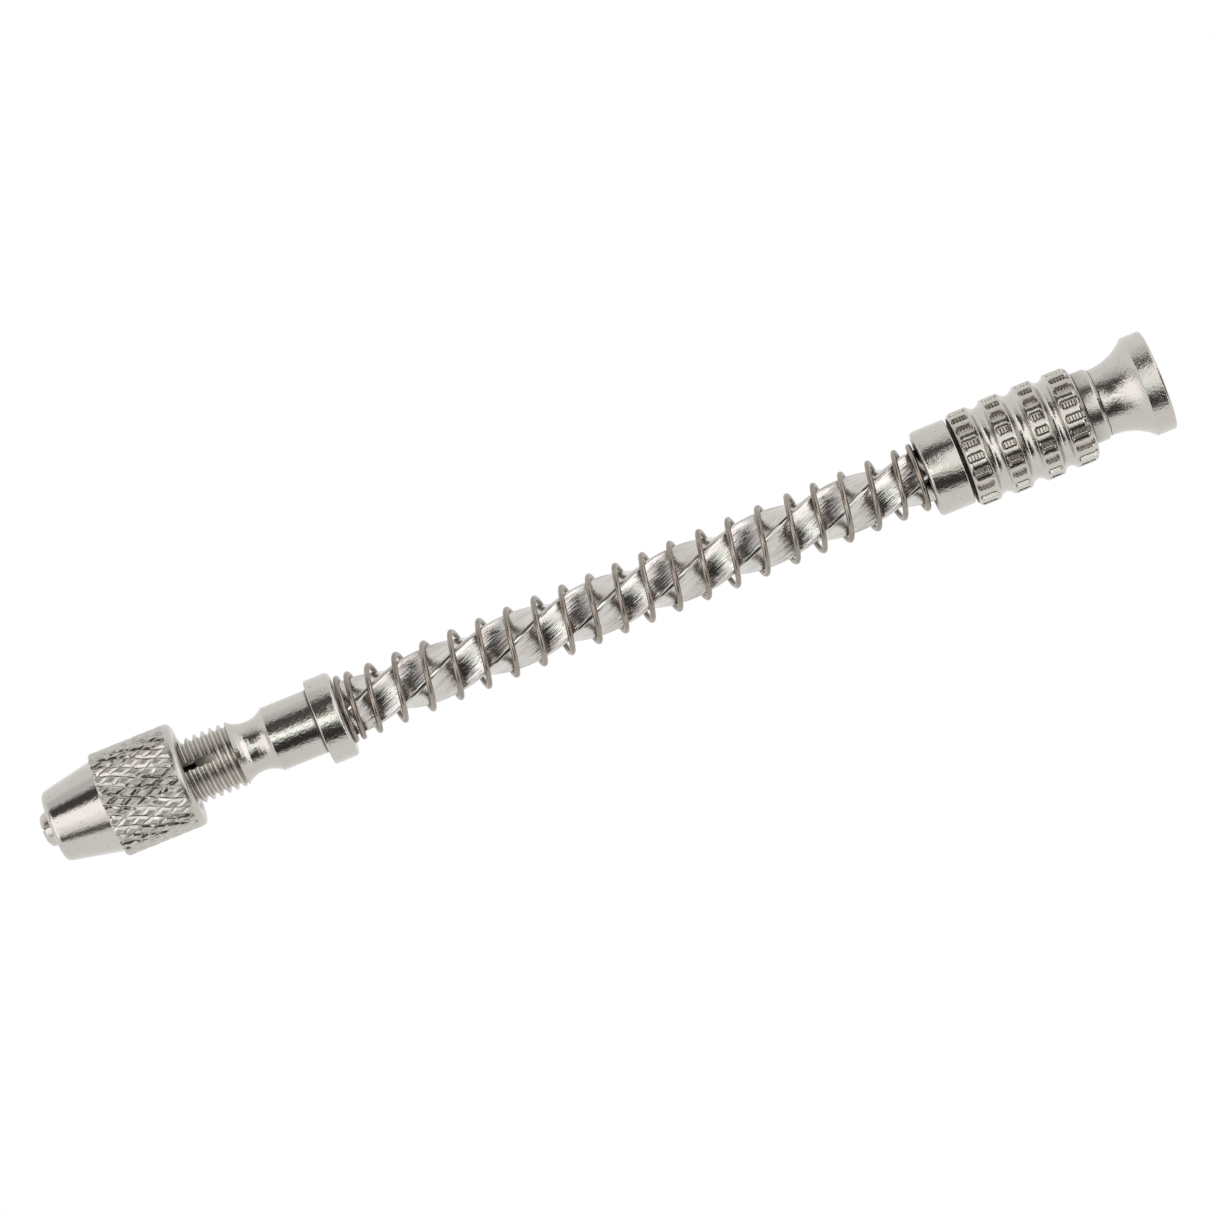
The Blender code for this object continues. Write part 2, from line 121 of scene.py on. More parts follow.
BODY_FRONT, BODY_END = span("chuck_body")
THREAD_END = 18.39
THREAD_PITCH = 0.75
THREAD_RADIUS = 3.0
THREAD_DEPTH = 0.44
THREAD_PHASE = 15.62
THREAD_ROUNDING = 0.88
THREAD_STEP = 0.03
RUN_OUT_END = THREAD_END + 0.1
RUN_OUT_LENGTH = 0.25
STUD_CHAMFER = 0.4
STUD_BORE_RADIUS = 1.6
STUD_BORE_END = 15.3
SLOT_WIDTH = 0.73
SLOT_END = 17.1
SLOT_TILT = -11.0
SAW_RADIUS = 20.0
SAW_HEIGHT = 19.4
NECK_RADIUS = 2.32
NECK_STATION = 20.07
NECK_ARC_RADIUS = 2.5
NECK_ARC = (139.5, 221.5)
NECK_RIPPLE = 0.0035
NECK_RIPPLE_PITCH = 0.37
BODY_START = 21.74
BODY_RADIUS = 2.96
BODY_SIDES = 160
SOCKET_START = 22.5

SEAT_FRONT, SEAT_REAR = span("spring_seat")
SEAT_RADIUS = 3.94
SEAT_FACE = SEAT_REAR - 0.15
SEAT_OFFSET = 0.22
SEAT_INSIDE = 3.0
TENON_RADIUS = 1.83

SHAFT_FRONT, SHAFT_REAR = span("twisted_shaft")
TWIST_START = SEAT_REAR + 0.03
TWIST_END = span("stop_collar")[0] - 0.04
TWIST_LEAD = 31.57
TWIST_CROSSING = 52.95
CORNER_RADIUS = 2.47
CORNER_HALF_ANGLE = 3.6
CORNER_ROUNDING = 0.012
TWIST_STEP = 0.2
SHAFT_FRONT_RADIUS = 1.8
JOURNAL_RADIUS = 1.6
SCREW_HOLE_RADIUS = 0.83
SCREW_HOLE_DEPTH = 3.4

WIRE_RADIUS = 0.25
COIL_RADIUS = 2.85
CLOSED_PITCH = 0.56
SPRING_TURNS = 22.7
SPRING_PHASE = 103.0
SPRING_STEPS_PER_TURN = 72
SPRING_GAP = 0.03
# turns from each end where the closed coils start to open, and where they are fully open
FRONT_OPENING = (0.5, 3.0)
REAR_OPENING = (0.25, 1.4)
# station, width and shift of each stretch of coils that has been pushed aside
UNEVEN_PITCH = ((28.6, 0.8, -0.32), (59.5, 4.5, -0.38), (71.0, 1.8, 0.22), (81.9, 1.4, -0.2))
WIRE_SIDES = 16

NOSE_FRONT, STEM_END = span("slide_nose")
NOSE_REAR = NOSE_FRONT + 3.22
NOSE_RADIUS = 3.97
NOSE_BORE_RADIUS = 2.75
STEM_RADIUS = 3.35
GRIP_FRONT, GRIP_REAR = span("grip_sleeve")
GRIP_BORE_RADIUS = 3.38
GROOVE_RADIUS = 3.96
GRIP_OFFSET = 0.12
# first station, last station and crest radius of each ring
RINGS = (
    (GRIP_FRONT, GRIP_FRONT + 1.94, 4.37),
    (GRIP_FRONT + 3.28, GRIP_FRONT + 4.94, 4.45),
    (GRIP_FRONT + 6.4, GRIP_FRONT + 8.03, 4.45),
    (GRIP_REAR - 2.18, GRIP_REAR, 4.4),
)
FLUTES = 19
FLUTE_PHASE = 3.4
FLUTE_DEPTH = 0.3
FLUTE_HALF_WIDTH = 0.27
FLUTE_WALL = 0.08
FLUTE_END_ROUNDING = 0.1
RING_EDGE = 0.16
RING_FADE = 0.14
LAND_CROWN = 0.035
CHATTER_DEPTH = 0.028
CHATTER_PITCH = 0.28
GRIP_SIDES = 480
GRIP_STEP = 0.05
HOLE_PLAY = 0.08
HOLE_OVERRUN = 0.5
REAR_BUSH_BORE_RADIUS = 2.6

CAP_FRONT, CAP_REAR = span("palm_cap")
CAP_NECK_RADIUS = 3.1
CAP_OFFSET = -0.1
CAP_RADIUS = 4.62
FLARE_START = CAP_FRONT + 0.18
FLARE_END = CAP_REAR - 1.8
CAP_BORE_RADIUS = 1.68
RECESS_RADIUS = 2.7
RECESS_START = CAP_REAR - 1.3

COLLAR_FRONT = span("stop_collar")[0]
COLLAR_END = CAP_FRONT - 0.015
COLLAR_RADIUS = 3.32
COLLAR_BORE_RADIUS = 1.63
COLLAR_INSIDE = 2.0
COLLAR_OFFSET = -0.13

WASHER_RADIUS = 2.45
WASHER_BORE_RADIUS = 0.9
SCREW_RADIUS = 0.8
SCREW_HEAD_RADIUS = 1.9
SCREW_CROWN_RADIUS = 1.5
SCREW_HEAD_HEIGHT = 0.67
SCREW_SLOT_SIZE = (0.7, 0.4, 8.0)
SCREW_SLOT_TILT = 30.0


# ---------------------------------------------------------------- outlines
def soften(corners, closed):
    """Rounds an outline's corners. A corner is (radius, station, rounding)."""
    count = len(corners)
    points = []
    for i, (radius, station, rounding) in enumerate(corners):
        here = np.array((radius, station))
        is_end = not closed and i in (0, count - 1)
        if is_end or rounding <= 0:
            points.append(tuple(here))
            continue
        before = np.array(corners[i - 1][:2])
        after = np.array(corners[(i + 1) % count][:2])
        room = 0.49 * min(np.linalg.norm(before - here), np.linalg.norm(after - here))
        cut = min(rounding, room)
        start = here + (before - here) / np.linalg.norm(before - here) * cut
        end = here + (after - here) / np.linalg.norm(after - here) * cut
        for step in range(ROUND_STEPS + 1):
            t = step / ROUND_STEPS
            point = (1 - t) ** 2 * start + 2 * t * (1 - t) * here + t * t * end
            points.append(tuple(point))
    return points


def densify(points, low, high, step, closed):
    """Adds points to the stretches of an outline whose stations lie between low and high."""
    made = []
    count = len(points)
    last = count if closed else count - 1
    for i in range(last):
        a = np.array(points[i])
        b = np.array(points[(i + 1) % count])
        made.append(tuple(a))
        middle = (a[1] + b[1]) / 2
        pieces = math.ceil(abs(b[1] - a[1]) / step)
        if low <= middle <= high and pieces > 1:
            made += [tuple(a + (b - a) * j / pieces) for j in range(1, pieces)]
    if not closed:
        made.append(tuple(points[-1]))
    return made


def arc(centre, radius, start, end, steps=20):
    """Points of an arc between two angles in degrees, as corners that need no rounding."""
    corners = []
    for i in range(steps + 1):
        angle = math.radians(start + (end - start) * i / steps)
        corners.append((centre[0] + radius * math.cos(angle), centre[1] + radius * math.sin(angle), 0))
    return corners


# ---------------------------------------------------------------- meshes
def place(radius, angle, station):
    """World position of points given by radius, angle about the axis, and station."""
    radius, angle, station = np.broadcast_arrays(radius, angle, station)
    x = TIP_X + station * MM
    y = -radius * np.sin(angle) * MM
    z = AXIS_Z + radius * np.cos(angle) * MM
    return np.stack([x, y, z], axis=-1)


def add_object(name, data):
    """An object for a mesh or a camera, in the scene."""
    obj = bpy.data.objects.new(name, data)
    bpy.context.scene.collection.objects.link(obj)
    return obj


def shade(mesh):
    """Shades a mesh smooth except across sharp edges."""
    mesh.shade_smooth()
    mesh.set_sharp_from_angle(angle=math.radians(SHARP_ANGLE))


def new_object(name, mesh):
    """A shaded object for a mesh, with its doubled points merged and its faces pointing out."""
    cage = bmesh.new()
    cage.from_mesh(mesh)
    bmesh.ops.remove_doubles(cage, verts=cage.verts, dist=1e-8)
    bmesh.ops.recalc_face_normals(cage, faces=cage.faces)
    cage.to_mesh(mesh)
    cage.free()
    shade(mesh)
    return add_object(name, mesh)


def grid_mesh(name, rows, wrap_rows, caps=False):
    """A mesh through rows of points. Each row closes on itself, and the rows may too."""
    count, sides = rows.shape[:2]
    mesh = bpy.data.meshes.new(name)
    last = count if wrap_rows else count - 1
    i = np.arange(last)[:, None]
    j = np.arange(sides)[None, :]
    nxt = (i + 1) % count
    right = (j + 1) % sides
    quads = np.stack(
        [i * sides + j, i * sides + right, nxt * sides + right, nxt * sides + j], axis=-1
    )
    faces = quads.reshape(-1, 4).tolist()
    if caps:
        faces.append(list(range(sides))[::-1])
        faces.append([(count - 1) * sides + k for k in range(sides)])
    mesh.from_pydata(rows.reshape(-1, 3).tolist(), [], faces)
    return mesh


def lathe(name, points, closed=True, sides=LATHE_SIDES, relief=None):
    """A turned piece. relief changes the radius of each point from (radius, angle, station)."""
    radius = np.array([p[0] for p in points], float)[:, None]
    station = np.array([p[1] for p in points], float)[:, None]
    angle = (np.arange(sides) / sides * TAU)[None, :]
    radius = np.repeat(radius, sides, axis=1)
    if relief:
        radius = relief(radius, angle, station)
    return new_object(name, grid_mesh(name, place(radius, angle, station), closed))


def turn_about_x(cage, degrees):
    """Turns a cage's points about the X axis."""
    turn = Matrix.Rotation(math.radians(degrees), 4, "X")
    bmesh.ops.transform(cage, matrix=turn, verts=cage.verts)


def cage_object(name, cage, material):
    """An object for a cage of points and faces, in one material."""
    mesh = bpy.data.meshes.new(name)
    cage.to_mesh(mesh)
    cage.free()
    mesh.materials.append(material)
    return add_object(name, mesh)


def box_at(name, size, station, tilt, material):
    """A cutter: a box of (along, width, height) millimetres on the axis, turned about it."""
    cage = bmesh.new()
    bmesh.ops.create_cube(cage, size=1.0)
    bmesh.ops.scale(cage, vec=Vector(size) * MM, verts=cage.verts)
    turn_about_x(cage, tilt)
    bmesh.ops.translate(cage, vec=Vector((TIP_X + station * MM, 0, AXIS_Z)), verts=cage.verts)
    return cage_object(name, cage, material)


def cut(piece, *cutters):
    """Takes the cutters' shapes out of a piece, and removes the cutters."""
    for tool in cutters:
        modifier = piece.modifiers.new("cut", "BOOLEAN")
        modifier.operation = "DIFFERENCE"
        modifier.solver = "EXACT"
        modifier.material_mode = "TRANSFER"
        modifier.object = tool
    graph = bpy.context.evaluated_depsgraph_get()
    mesh = bpy.data.meshes.new_from_object(piece.evaluated_get(graph))
    piece.modifiers.clear()
    piece.data = mesh
    shade(mesh)
    for tool in cutters:
        bpy.data.objects.remove(tool)


def finish_piece(piece, node, body, material=None):
    """Gives a piece its material, and lets it stand for its CAD node on its body."""
    if material:
        piece.data.materials.append(material)
    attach(piece, body)
    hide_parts(node)


# ---------------------------------------------------------------- materials
class Shader:
    """Short names for the nodes that the materials use. Lengths in them are millimetres."""

    def __init__(self, name):
        self.material = bpy.data.materials.new(name)
        self.material.use_nodes = True
        self.tree = self.material.node_tree
        self.surface = self.tree.nodes["Principled BSDF"]
        place_node = self.tree.nodes.new("ShaderNodeTexCoord")
        self.place = self.math_vector("SCALE", place_node.outputs["Object"], 1 / MM)

    def link(self, value, socket):
        """Sets a socket to a number, colour or another node's output."""
        if isinstance(value, bpy.types.NodeSocket):
            self.tree.links.new(value, socket)
        else:
            socket.default_value = value

    def math_vector(self, operation, a, b):
        """A vector scaled by a number, or multiplied by another vector."""
        node = self.tree.nodes.new("ShaderNodeVectorMath")
        node.operation = operation
        self.link(a, node.inputs[0])
        self.link(b, node.inputs["Scale"] if operation == "SCALE" else node.inputs[1])
        return node.outputs["Vector"]

    def length(self, vector):
        """A vector's length."""
        node = self.tree.nodes.new("ShaderNodeVectorMath")
        node.operation = "LENGTH"
        self.link(vector, node.inputs[0])
        return node.outputs["Value"]

    def math(self, operation, a, b):
        """Two numbers joined by an operation, such as ADD."""
        node = self.tree.nodes.new("ShaderNodeMath")
        node.operation = operation
        self.link(a, node.inputs[0])
        self.link(b, node.inputs[1])
        return node.outputs["Value"]

    def noise(self, scale, detail=2.0, rough=0.5, stretch=None, source=None):
        """Noise with features about 1/scale millimetres across."""
        vector = source or self.place
        if stretch:
            vector = self.math_vector("MULTIPLY", vector, stretch)
        node = self.tree.nodes.new("ShaderNodeTexNoise")
        self.link(vector, node.inputs["Vector"])
        node.inputs["Scale"].default_value = scale
        node.inputs["Detail"].default_value = detail
        node.inputs["Roughness"].default_value = rough
        return node.outputs["Fac"]

    def dots(self, scale):
        """Distance to scattered points, about 1/scale millimetres apart."""
        node = self.tree.nodes.new("ShaderNodeTexVoronoi")
        self.link(self.place, node.inputs["Vector"])
        node.inputs["Scale"].default_value = scale
        return node.outputs["Distance"]

    def ramp(self, value, low, high, start=0.0, end=1.0):
        """Maps low..high to start..end, held at the ends."""
        node = self.tree.nodes.new("ShaderNodeMapRange")
        self.link(value, node.inputs["Value"])
        node.inputs["From Min"].default_value = low
        node.inputs["From Max"].default_value = high
        node.inputs["To Min"].default_value = start
        node.inputs["To Max"].default_value = end
        return node.outputs["Result"]

    def mix(self, share, a, b):
        """Mixes two colours."""
        node = self.tree.nodes.new("ShaderNodeMix")
        node.data_type = "RGBA"
        self.link(share, node.inputs["Factor"])
        self.link(a if isinstance(a, bpy.types.NodeSocket) else (*a, 1), node.inputs["A"])
        self.link(b if isinstance(b, bpy.types.NodeSocket) else (*b, 1), node.inputs["B"])
        return node.outputs["Result"]

    def bump(self, height, distance, under=None):
        """Bump of a height field, in millimetres at full height."""
        node = self.tree.nodes.new("ShaderNodeBump")
        node.inputs["Strength"].default_value = 1.0
        node.inputs["Distance"].default_value = distance * MM
        self.link(height, node.inputs["Height"])
        if under:
            self.link(under, node.inputs["Normal"])
        return node.outputs["Normal"]

    def attribute(self, name):
        """A vector stored on the mesh."""
        node = self.tree.nodes.new("ShaderNodeAttribute")
        node.attribute_name = name
        return node.outputs["Vector"]

    def split(self, vector):
        """A vector's three parts."""
        node = self.tree.nodes.new("ShaderNodeSeparateXYZ")
        self.link(vector, node.inputs["Vector"])
        return node.outputs["X"], node.outputs["Y"], node.outputs["Z"]

    def set(self, colour, roughness, normal):
        """Joins the results to the surface of a metal."""
        self.link(colour, self.surface.inputs["Base Color"])
        self.link(roughness, self.surface.inputs["Roughness"])
        self.link(normal, self.surface.inputs["Normal"])
        self.surface.inputs["Metallic"].default_value = 1.0
        return self.material


PLATE = (0.553, 0.531, 0.492)
PLATE_WARM = (0.52, 0.485, 0.44)
DULL = (0.49, 0.46, 0.42)
TARNISH = (0.24, 0.195, 0.145)
STAIN = (0.16, 0.115, 0.075)
# Near black for dark pits and specks, and for the painted shade in gaps and recesses.
SPECK_AND_SHADE_BLACK = (0.03, 0.024, 0.018)
BAR_CLEAN = (0.63, 0.615, 0.58)
BAR_SCUFFED = (0.47, 0.425, 0.395)
FLAT_REACH = (2.41, 2.45)
WIRE_LIGHT = (0.36, 0.325, 0.285)
WIRE_BROWN = (0.28, 0.235, 0.195)
WIRE_BLOT = (0.14, 0.10, 0.07)
WIRE_LINE = (0.10, 0.08, 0.06)
BRASS_LIGHT = (0.62, 0.46, 0.21)
BRASS_DARK = (0.48, 0.33, 0.13)
STEEL_LIGHT = (0.20, 0.195, 0.19)
STEEL_DARK = (0.11, 0.105, 0.11)
SAWN_LIGHT = (0.80, 0.77, 0.72)
SAWN_DARK = (0.60, 0.57, 0.52)


def plated(name, rough=0.14, peel=1.0, speckle=1.0, lines=0.3, hollow=0.6):
    """Nickel plate: orange peel, specks, turning lines, pits, and the painted shade, dullness and depth
    stored on the mesh.

    The stored parts are painted shade in gaps, seams and recesses, dullness, and how deep a point lies
    in pressed relief.
    """
    s = Shader(name)
    painted_shade, dull, low = s.split(s.attribute("shade_and_wear"))
    cloud = s.noise(0.35, detail=3)
    mottle = s.noise(5.0, detail=4, rough=0.65)
    colour = s.mix(s.ramp(cloud, 0.42, 0.68, 0.0, 0.5), PLATE, PLATE_WARM)
    colour = s.mix(s.math("MULTIPLY", dull, s.ramp(mottle, 0.3, 0.7, 0.55, 1.0)), colour, DULL)
    tarnish = s.math("MULTIPLY", s.math("MULTIPLY", low, hollow), s.ramp(mottle, 0.35, 0.65, 0.4, 1.0))
    colour = s.mix(tarnish, colour, TARNISH)
    pits = s.ramp(s.dots(0.85), 0.035, 0.075, 0.55, 0.0)
    colour = s.mix(pits, colour, SPECK_AND_SHADE_BLACK)
    grime = s.ramp(s.noise(1.7, detail=5, rough=0.65), 0.6, 0.74, 0.0, 0.3)
    colour = s.mix(grime, colour, STAIN)
    # Painted shade: the plate goes towards black in gaps, seams and recesses, and is rougher there.
    colour = s.mix(s.math("MULTIPLY", painted_shade, s.ramp(mottle, 0.3, 0.6, 0.8, 1.0)), colour, SPECK_AND_SHADE_BLACK)
    fine = s.noise(7.0, detail=3, rough=0.6)
    roughness = s.ramp(fine, 0.3, 0.7, rough * 0.75, rough * 1.3)
    roughness = s.math("ADD", roughness, s.math("MULTIPLY", dull, 0.3))
    roughness = s.math("ADD", roughness, s.math("MULTIPLY", painted_shade, 0.3))
    normal = s.bump(s.noise(2.3, detail=2), 0.012 * peel)
    normal = s.bump(s.math("MULTIPLY", mottle, dull), 0.05, normal)
    specks = s.noise(4.6, detail=3, rough=0.65, stretch=(0.65, 1.0, 1.0))
    normal = s.bump(specks, 0.034 * speckle, normal)
    normal = s.bump(s.noise(9.0, detail=2, stretch=(1.0, 0.02, 0.02)), 0.005 * lines, normal)
    return s.set(colour, roughness, normal)


def drawn_bar():
    """The twisted bar: streaks that follow the twist, scuffs and dark specks."""
    s = Shader("drawn_bar")
    flow = s.attribute("flow")
    streak = s.noise(1.0, detail=3, rough=0.6, stretch=(5.0, 5.0, 0.3), source=flow)
    fine = s.noise(1.0, detail=2, rough=0.6, stretch=(13.0, 13.0, 0.9), source=flow)
    scuff = s.noise(1.0, detail=4, rough=0.65, stretch=(1.1, 1.1, 0.35), source=flow)
    from_axis = s.length(s.math_vector("MULTIPLY", flow, (1.0, 1.0, 0.0)))
    on_flat = s.ramp(from_axis, *FLAT_REACH, 1.0, 0.0)
    colour = s.mix(s.ramp(scuff, 0.42, 0.66, 0.0, 0.8), BAR_CLEAN, BAR_SCUFFED)
    specks = s.ramp(s.dots(1.3), 0.03, 0.085, 0.75, 0.0)
    colour = s.mix(specks, colour, SPECK_AND_SHADE_BLACK)
    colour = s.mix(s.ramp(streak, 0.56, 0.72, 0.0, 0.35), colour, STAIN)
    roughness = s.ramp(fine, 0.35, 0.65, 0.06, 0.15)
    normal = s.bump(s.math("MULTIPLY", scuff, on_flat), 0.02)
    normal = s.bump(s.math("MULTIPLY", streak, on_flat), 0.04, normal)
    normal = s.bump(s.math("MULTIPLY", fine, on_flat), 0.007, normal)
    return s.set(colour, roughness, normal)


def spring_wire():
    """Drawn steel wire with brown stains and fine draw lines."""
    s = Shader("spring_wire")
    flow = s.attribute("flow")
    lines = s.noise(1.0, detail=3, stretch=(9.0, 9.0, 0.35), source=flow)
    cloud = s.noise(0.8, detail=4, rough=0.6)
    colour = s.mix(s.ramp(cloud, 0.42, 0.66), WIRE_LIGHT, WIRE_BROWN)
    blot = s.ramp(s.noise(2.3, detail=5, rough=0.7), 0.58, 0.68, 0.0, 0.7)
    colour = s.mix(blot, colour, WIRE_BLOT)
    colour = s.mix(s.ramp(lines, 0.52, 0.66, 0.0, 0.25), colour, WIRE_LINE)
    roughness = s.ramp(lines, 0.35, 0.65, 0.24, 0.38)
    normal = s.bump(lines, 0.012)
    return s.set(colour, roughness, normal)


def brass():
    """Turned brass for the bushes, washer and drive nut."""
    s = Shader("bearing_brass")
    cloud = s.noise(0.6, detail=3)
    colour = s.mix(s.ramp(cloud, 0.4, 0.65), BRASS_LIGHT, BRASS_DARK)
    lines = s.noise(8.0, detail=2, stretch=(1.0, 0.02, 0.02))
    return s.set(colour, s.ramp(cloud, 0.3, 0.7, 0.25, 0.4), s.bump(lines, 0.004))


def blued_steel():
    """Dark screw steel."""
    s = Shader("blued_steel")
    cloud = s.noise(1.2, detail=4)
    colour = s.mix(s.ramp(cloud, 0.4, 0.65), STEEL_LIGHT, STEEL_DARK)
    return s.set(colour, s.ramp(cloud, 0.3, 0.7, 0.28, 0.42), s.bump(cloud, 0.006))


def sawn_metal():
    """Bare, light metal with a dull finish, inside sawn slots."""
    s = Shader("slot_floor")
    mottle = s.noise(4.0, detail=4)
    colour = s.mix(s.ramp(mottle, 0.4, 0.65), SAWN_LIGHT, SAWN_DARK)
    return s.set(colour, s.ramp(mottle, 0.3, 0.7, 0.3, 0.45), s.bump(mottle, 0.01))


NICKEL = plated("nickel_plate", peel=0.9, speckle=0.7)
NICKEL_CHUCK = plated("nickel_chuck_body", rough=0.11, speckle=0.8, lines=1.0, hollow=0.1)
NICKEL_CAP = plated("nickel_palm_cap", speckle=0.9)
KNURLED = plated("knurled_nickel", rough=0.12, peel=0.8, speckle=0.4, hollow=0.15)
FLUTED = plated("fluted_nickel", rough=0.13, peel=1.0, speckle=0.6, hollow=0.5)
SLOT_FLOOR = sawn_metal()
BAR = drawn_bar()
WIRE = spring_wire()
BRASS = brass()
SCREW = blued_steel()


def store_vectors(piece, name, values):
    """Stores one vector for each vertex."""
    attribute = piece.data.attributes.new(name, "FLOAT_VECTOR", "POINT")
    attribute.data.foreach_set("vector", np.ascontiguousarray(values, np.float32).ravel())


def cylinder_places(piece):
    """Radius, angle and station of a piece's vertices."""
    co = np.zeros(len(piece.data.vertices) * 3)
    piece.data.vertices.foreach_get("co", co)
    co = co.reshape(-1, 3)
    y = co[:, 1] / MM
    z = (co[:, 2] - AXIS_Z) / MM
    return np.hypot(y, z), np.arctan2(-y, z), (co[:, 0] - TIP_X) / MM


def store_shade_and_wear(piece, painted_shade=None, dull=None, low=None):
    """Stores the painted shade, dullness and depth that the plate shows. Each part is a function of
    (radius, angle, station).
    """
    places = cylinder_places(piece)
    parts = [part(*places) if part else np.zeros_like(places[0]) for part in (painted_shade, dull, low)]
    store_vectors(piece, "shade_and_wear", np.clip(np.stack(parts, axis=-1), 0, 1))


def fade(value, full, none):
    """1 where value is at or past full, 0 where it is at or past none, and smooth between."""
    share = np.clip((value - none) / (full - none), 0, 1)
    return share * share * (3 - 2 * share)


# ---------------------------------------------------------------- chuck
def away(position):
    """Distance to the nearest whole number, from 0 to 0.5."""
    return np.abs(position - np.round(position))


def knurl_relief(radius, angle, station):
    """Two crossing sets of V grooves of uneven depth, with flat diamonds between them."""
    slope = math.radians(KNURL_SLOPE)
    spacing = TAU * NUT_RADIUS / KNURL_LINES
    advance = spacing / math.tan(slope)
    drift = 0.05 * np.sin(angle * 5 + station * 1.3) + 0.04 * np.sin(angle * 13 - station * 2.1)
    turns = angle / TAU * KNURL_LINES + drift
    uneven = 0.85 + 0.15 * np.sin(angle * 17 + 2.3 * np.sin(station * 1.9))
    pressed = np.zeros_like(radius)
    for side in (-1, 1):
        gap = away(turns + side * station / advance) * spacing * math.cos(slope)
        groove_depth = KNURL_DEPTH * (uneven if side > 0 else 1.85 - uneven)
        share = np.clip(1 - gap / KNURL_HALF_WIDTH, 0, 1)
        pressed = np.maximum(pressed, groove_depth * share**KNURL_SHARPNESS)
    inside = (station > NUT_KNURL_START + 0.02) & (station < NUT_KNURL_END + 0.2)
    inside = inside & (radius > NUT_CONE_RADIUS + 0.1)
    return np.where(inside, np.minimum(radius, NUT_RADIUS - pressed), radius)


def make_chuck_nut():
    """The nut that closes the collet: a cone, a diamond-knurled band and a rear chamfer."""
    corners = [
        (NUT_SINK_RADIUS, NUT_REAR, 0.1),
        (NUT_RADIUS, NUT_REAR, NUT_CHAMFER),
        (NUT_RADIUS, NUT_KNURL_START + KNURL_LIP, 0.04),
        (NUT_RADIUS - KNURL_LIP, NUT_KNURL_START, 0.03),
        (NUT_CONE_RADIUS, NUT_KNURL_START, 0.05),
        (NUT_NOSE_RADIUS, NUT_FRONT, 0.62),
        (NUT_MOUTH_RADIUS, NUT_FRONT, 0.08),
        (NUT_BORE_RADIUS, NUT_BORE_START, 0),
        (NUT_BORE_RADIUS, NUT_BORE_END, 0),
    ]
    points = soften(corners, True)
    points = densify(points, NUT_KNURL_START, NUT_REAR - 0.4, KNURL_STEP, True)
    nut = lathe("chuck_nut_knurled", points, sides=KNURL_SIDES, relief=knurl_relief)

    # Painted shade on the rear face round the chuck body and in the mouth round the collet.
    def painted_shade(radius, angle, station):
        sink = 0.8 * fade(radius, 3.1, 3.6) * (station > NUT_REAR - 1.0)
        mouth = 0.6 * fade(radius, 1.8, 2.0) * (station < NUT_FRONT + 0.2)
        return np.maximum(sink, mouth)

    def low(radius, angle, station):
        banded = (station > NUT_KNURL_START + 0.1) & (station < NUT_KNURL_END + 0.2)
        return banded * fade(NUT_RADIUS - radius, KNURL_DEPTH, 0.5 * KNURL_DEPTH)

    def dull(radius, angle, station):
        banded = (station > NUT_KNURL_START + 0.1) & (station < NUT_KNURL_END + 0.1)
        chamfer = 0.45 * fade(station, NUT_KNURL_END + 0.15, NUT_KNURL_END)
        return np.maximum(0.85 * banded * fade(NUT_RADIUS - radius, 0.004, 0.022), chamfer)

    store_shade_and_wear(nut, painted_shade, dull, low)
    finish_piece(nut, "chuck_nut", "chuck_nut", KNURLED)


def make_collet():
    """The split tip that holds the drill, and its tapered head inside the nut."""
    corners = [
        (COLLET_RADIUS, COLLET_TAIL_END, 0.1),
        (COLLET_RADIUS, COLLET_HEAD_END, 0),
        (COLLET_HEAD_RADIUS, COLLET_HEAD_END, 0.1),
        (COLLET_HEAD_RADIUS, COLLET_HEAD_START, 0.2),
        (COLLET_TIP_RADIUS + 0.2, NUT_FRONT, 0),
        (COLLET_TIP_RADIUS, 0.30, 0.12),
        (COLLET_TIP_RADIUS - 0.38, 0.0, 0.22),
        (COLLET_BORE_RADIUS, 0.0, 0.05),
        (COLLET_BORE_RADIUS, COLLET_TAIL_END, 0),
    ]
    collet = lathe("collet_jaws", soften(corners, True), sides=FINE_SIDES)
    collet.data.materials.append(NICKEL)
    tilts = (SLOT_TILT, SLOT_TILT + 90)
    cut(collet, *[box_at("slit", SLIT_SIZE, 0.0, tilt, SLOT_FLOOR) for tilt in tilts])
    finish_piece(collet, "collet", "collet")


def thread_relief(radius, angle, station):
    """A right-hand thread with rounded crests, which runs out at its end, and a rippled neck."""
    nearest = away((station - THREAD_PHASE) / THREAD_PITCH - angle / TAU)
    depth = 2 * nearest - THREAD_ROUNDING * np.sin(2 * TAU * nearest) / TAU
    ripple = NECK_RIPPLE * np.sin(station * TAU / NECK_RIPPLE_PITCH)
    radius = radius + np.where((station > RUN_OUT_END) & (station < BODY_START), ripple, 0.0)
    run_out = np.clip((RUN_OUT_END - station) / RUN_OUT_LENGTH, 0, 1)
    threaded = (radius > THREAD_RADIUS - 0.02) & (station < RUN_OUT_END)
    return radius - np.where(threaded, THREAD_DEPTH * depth * run_out, 0.0)


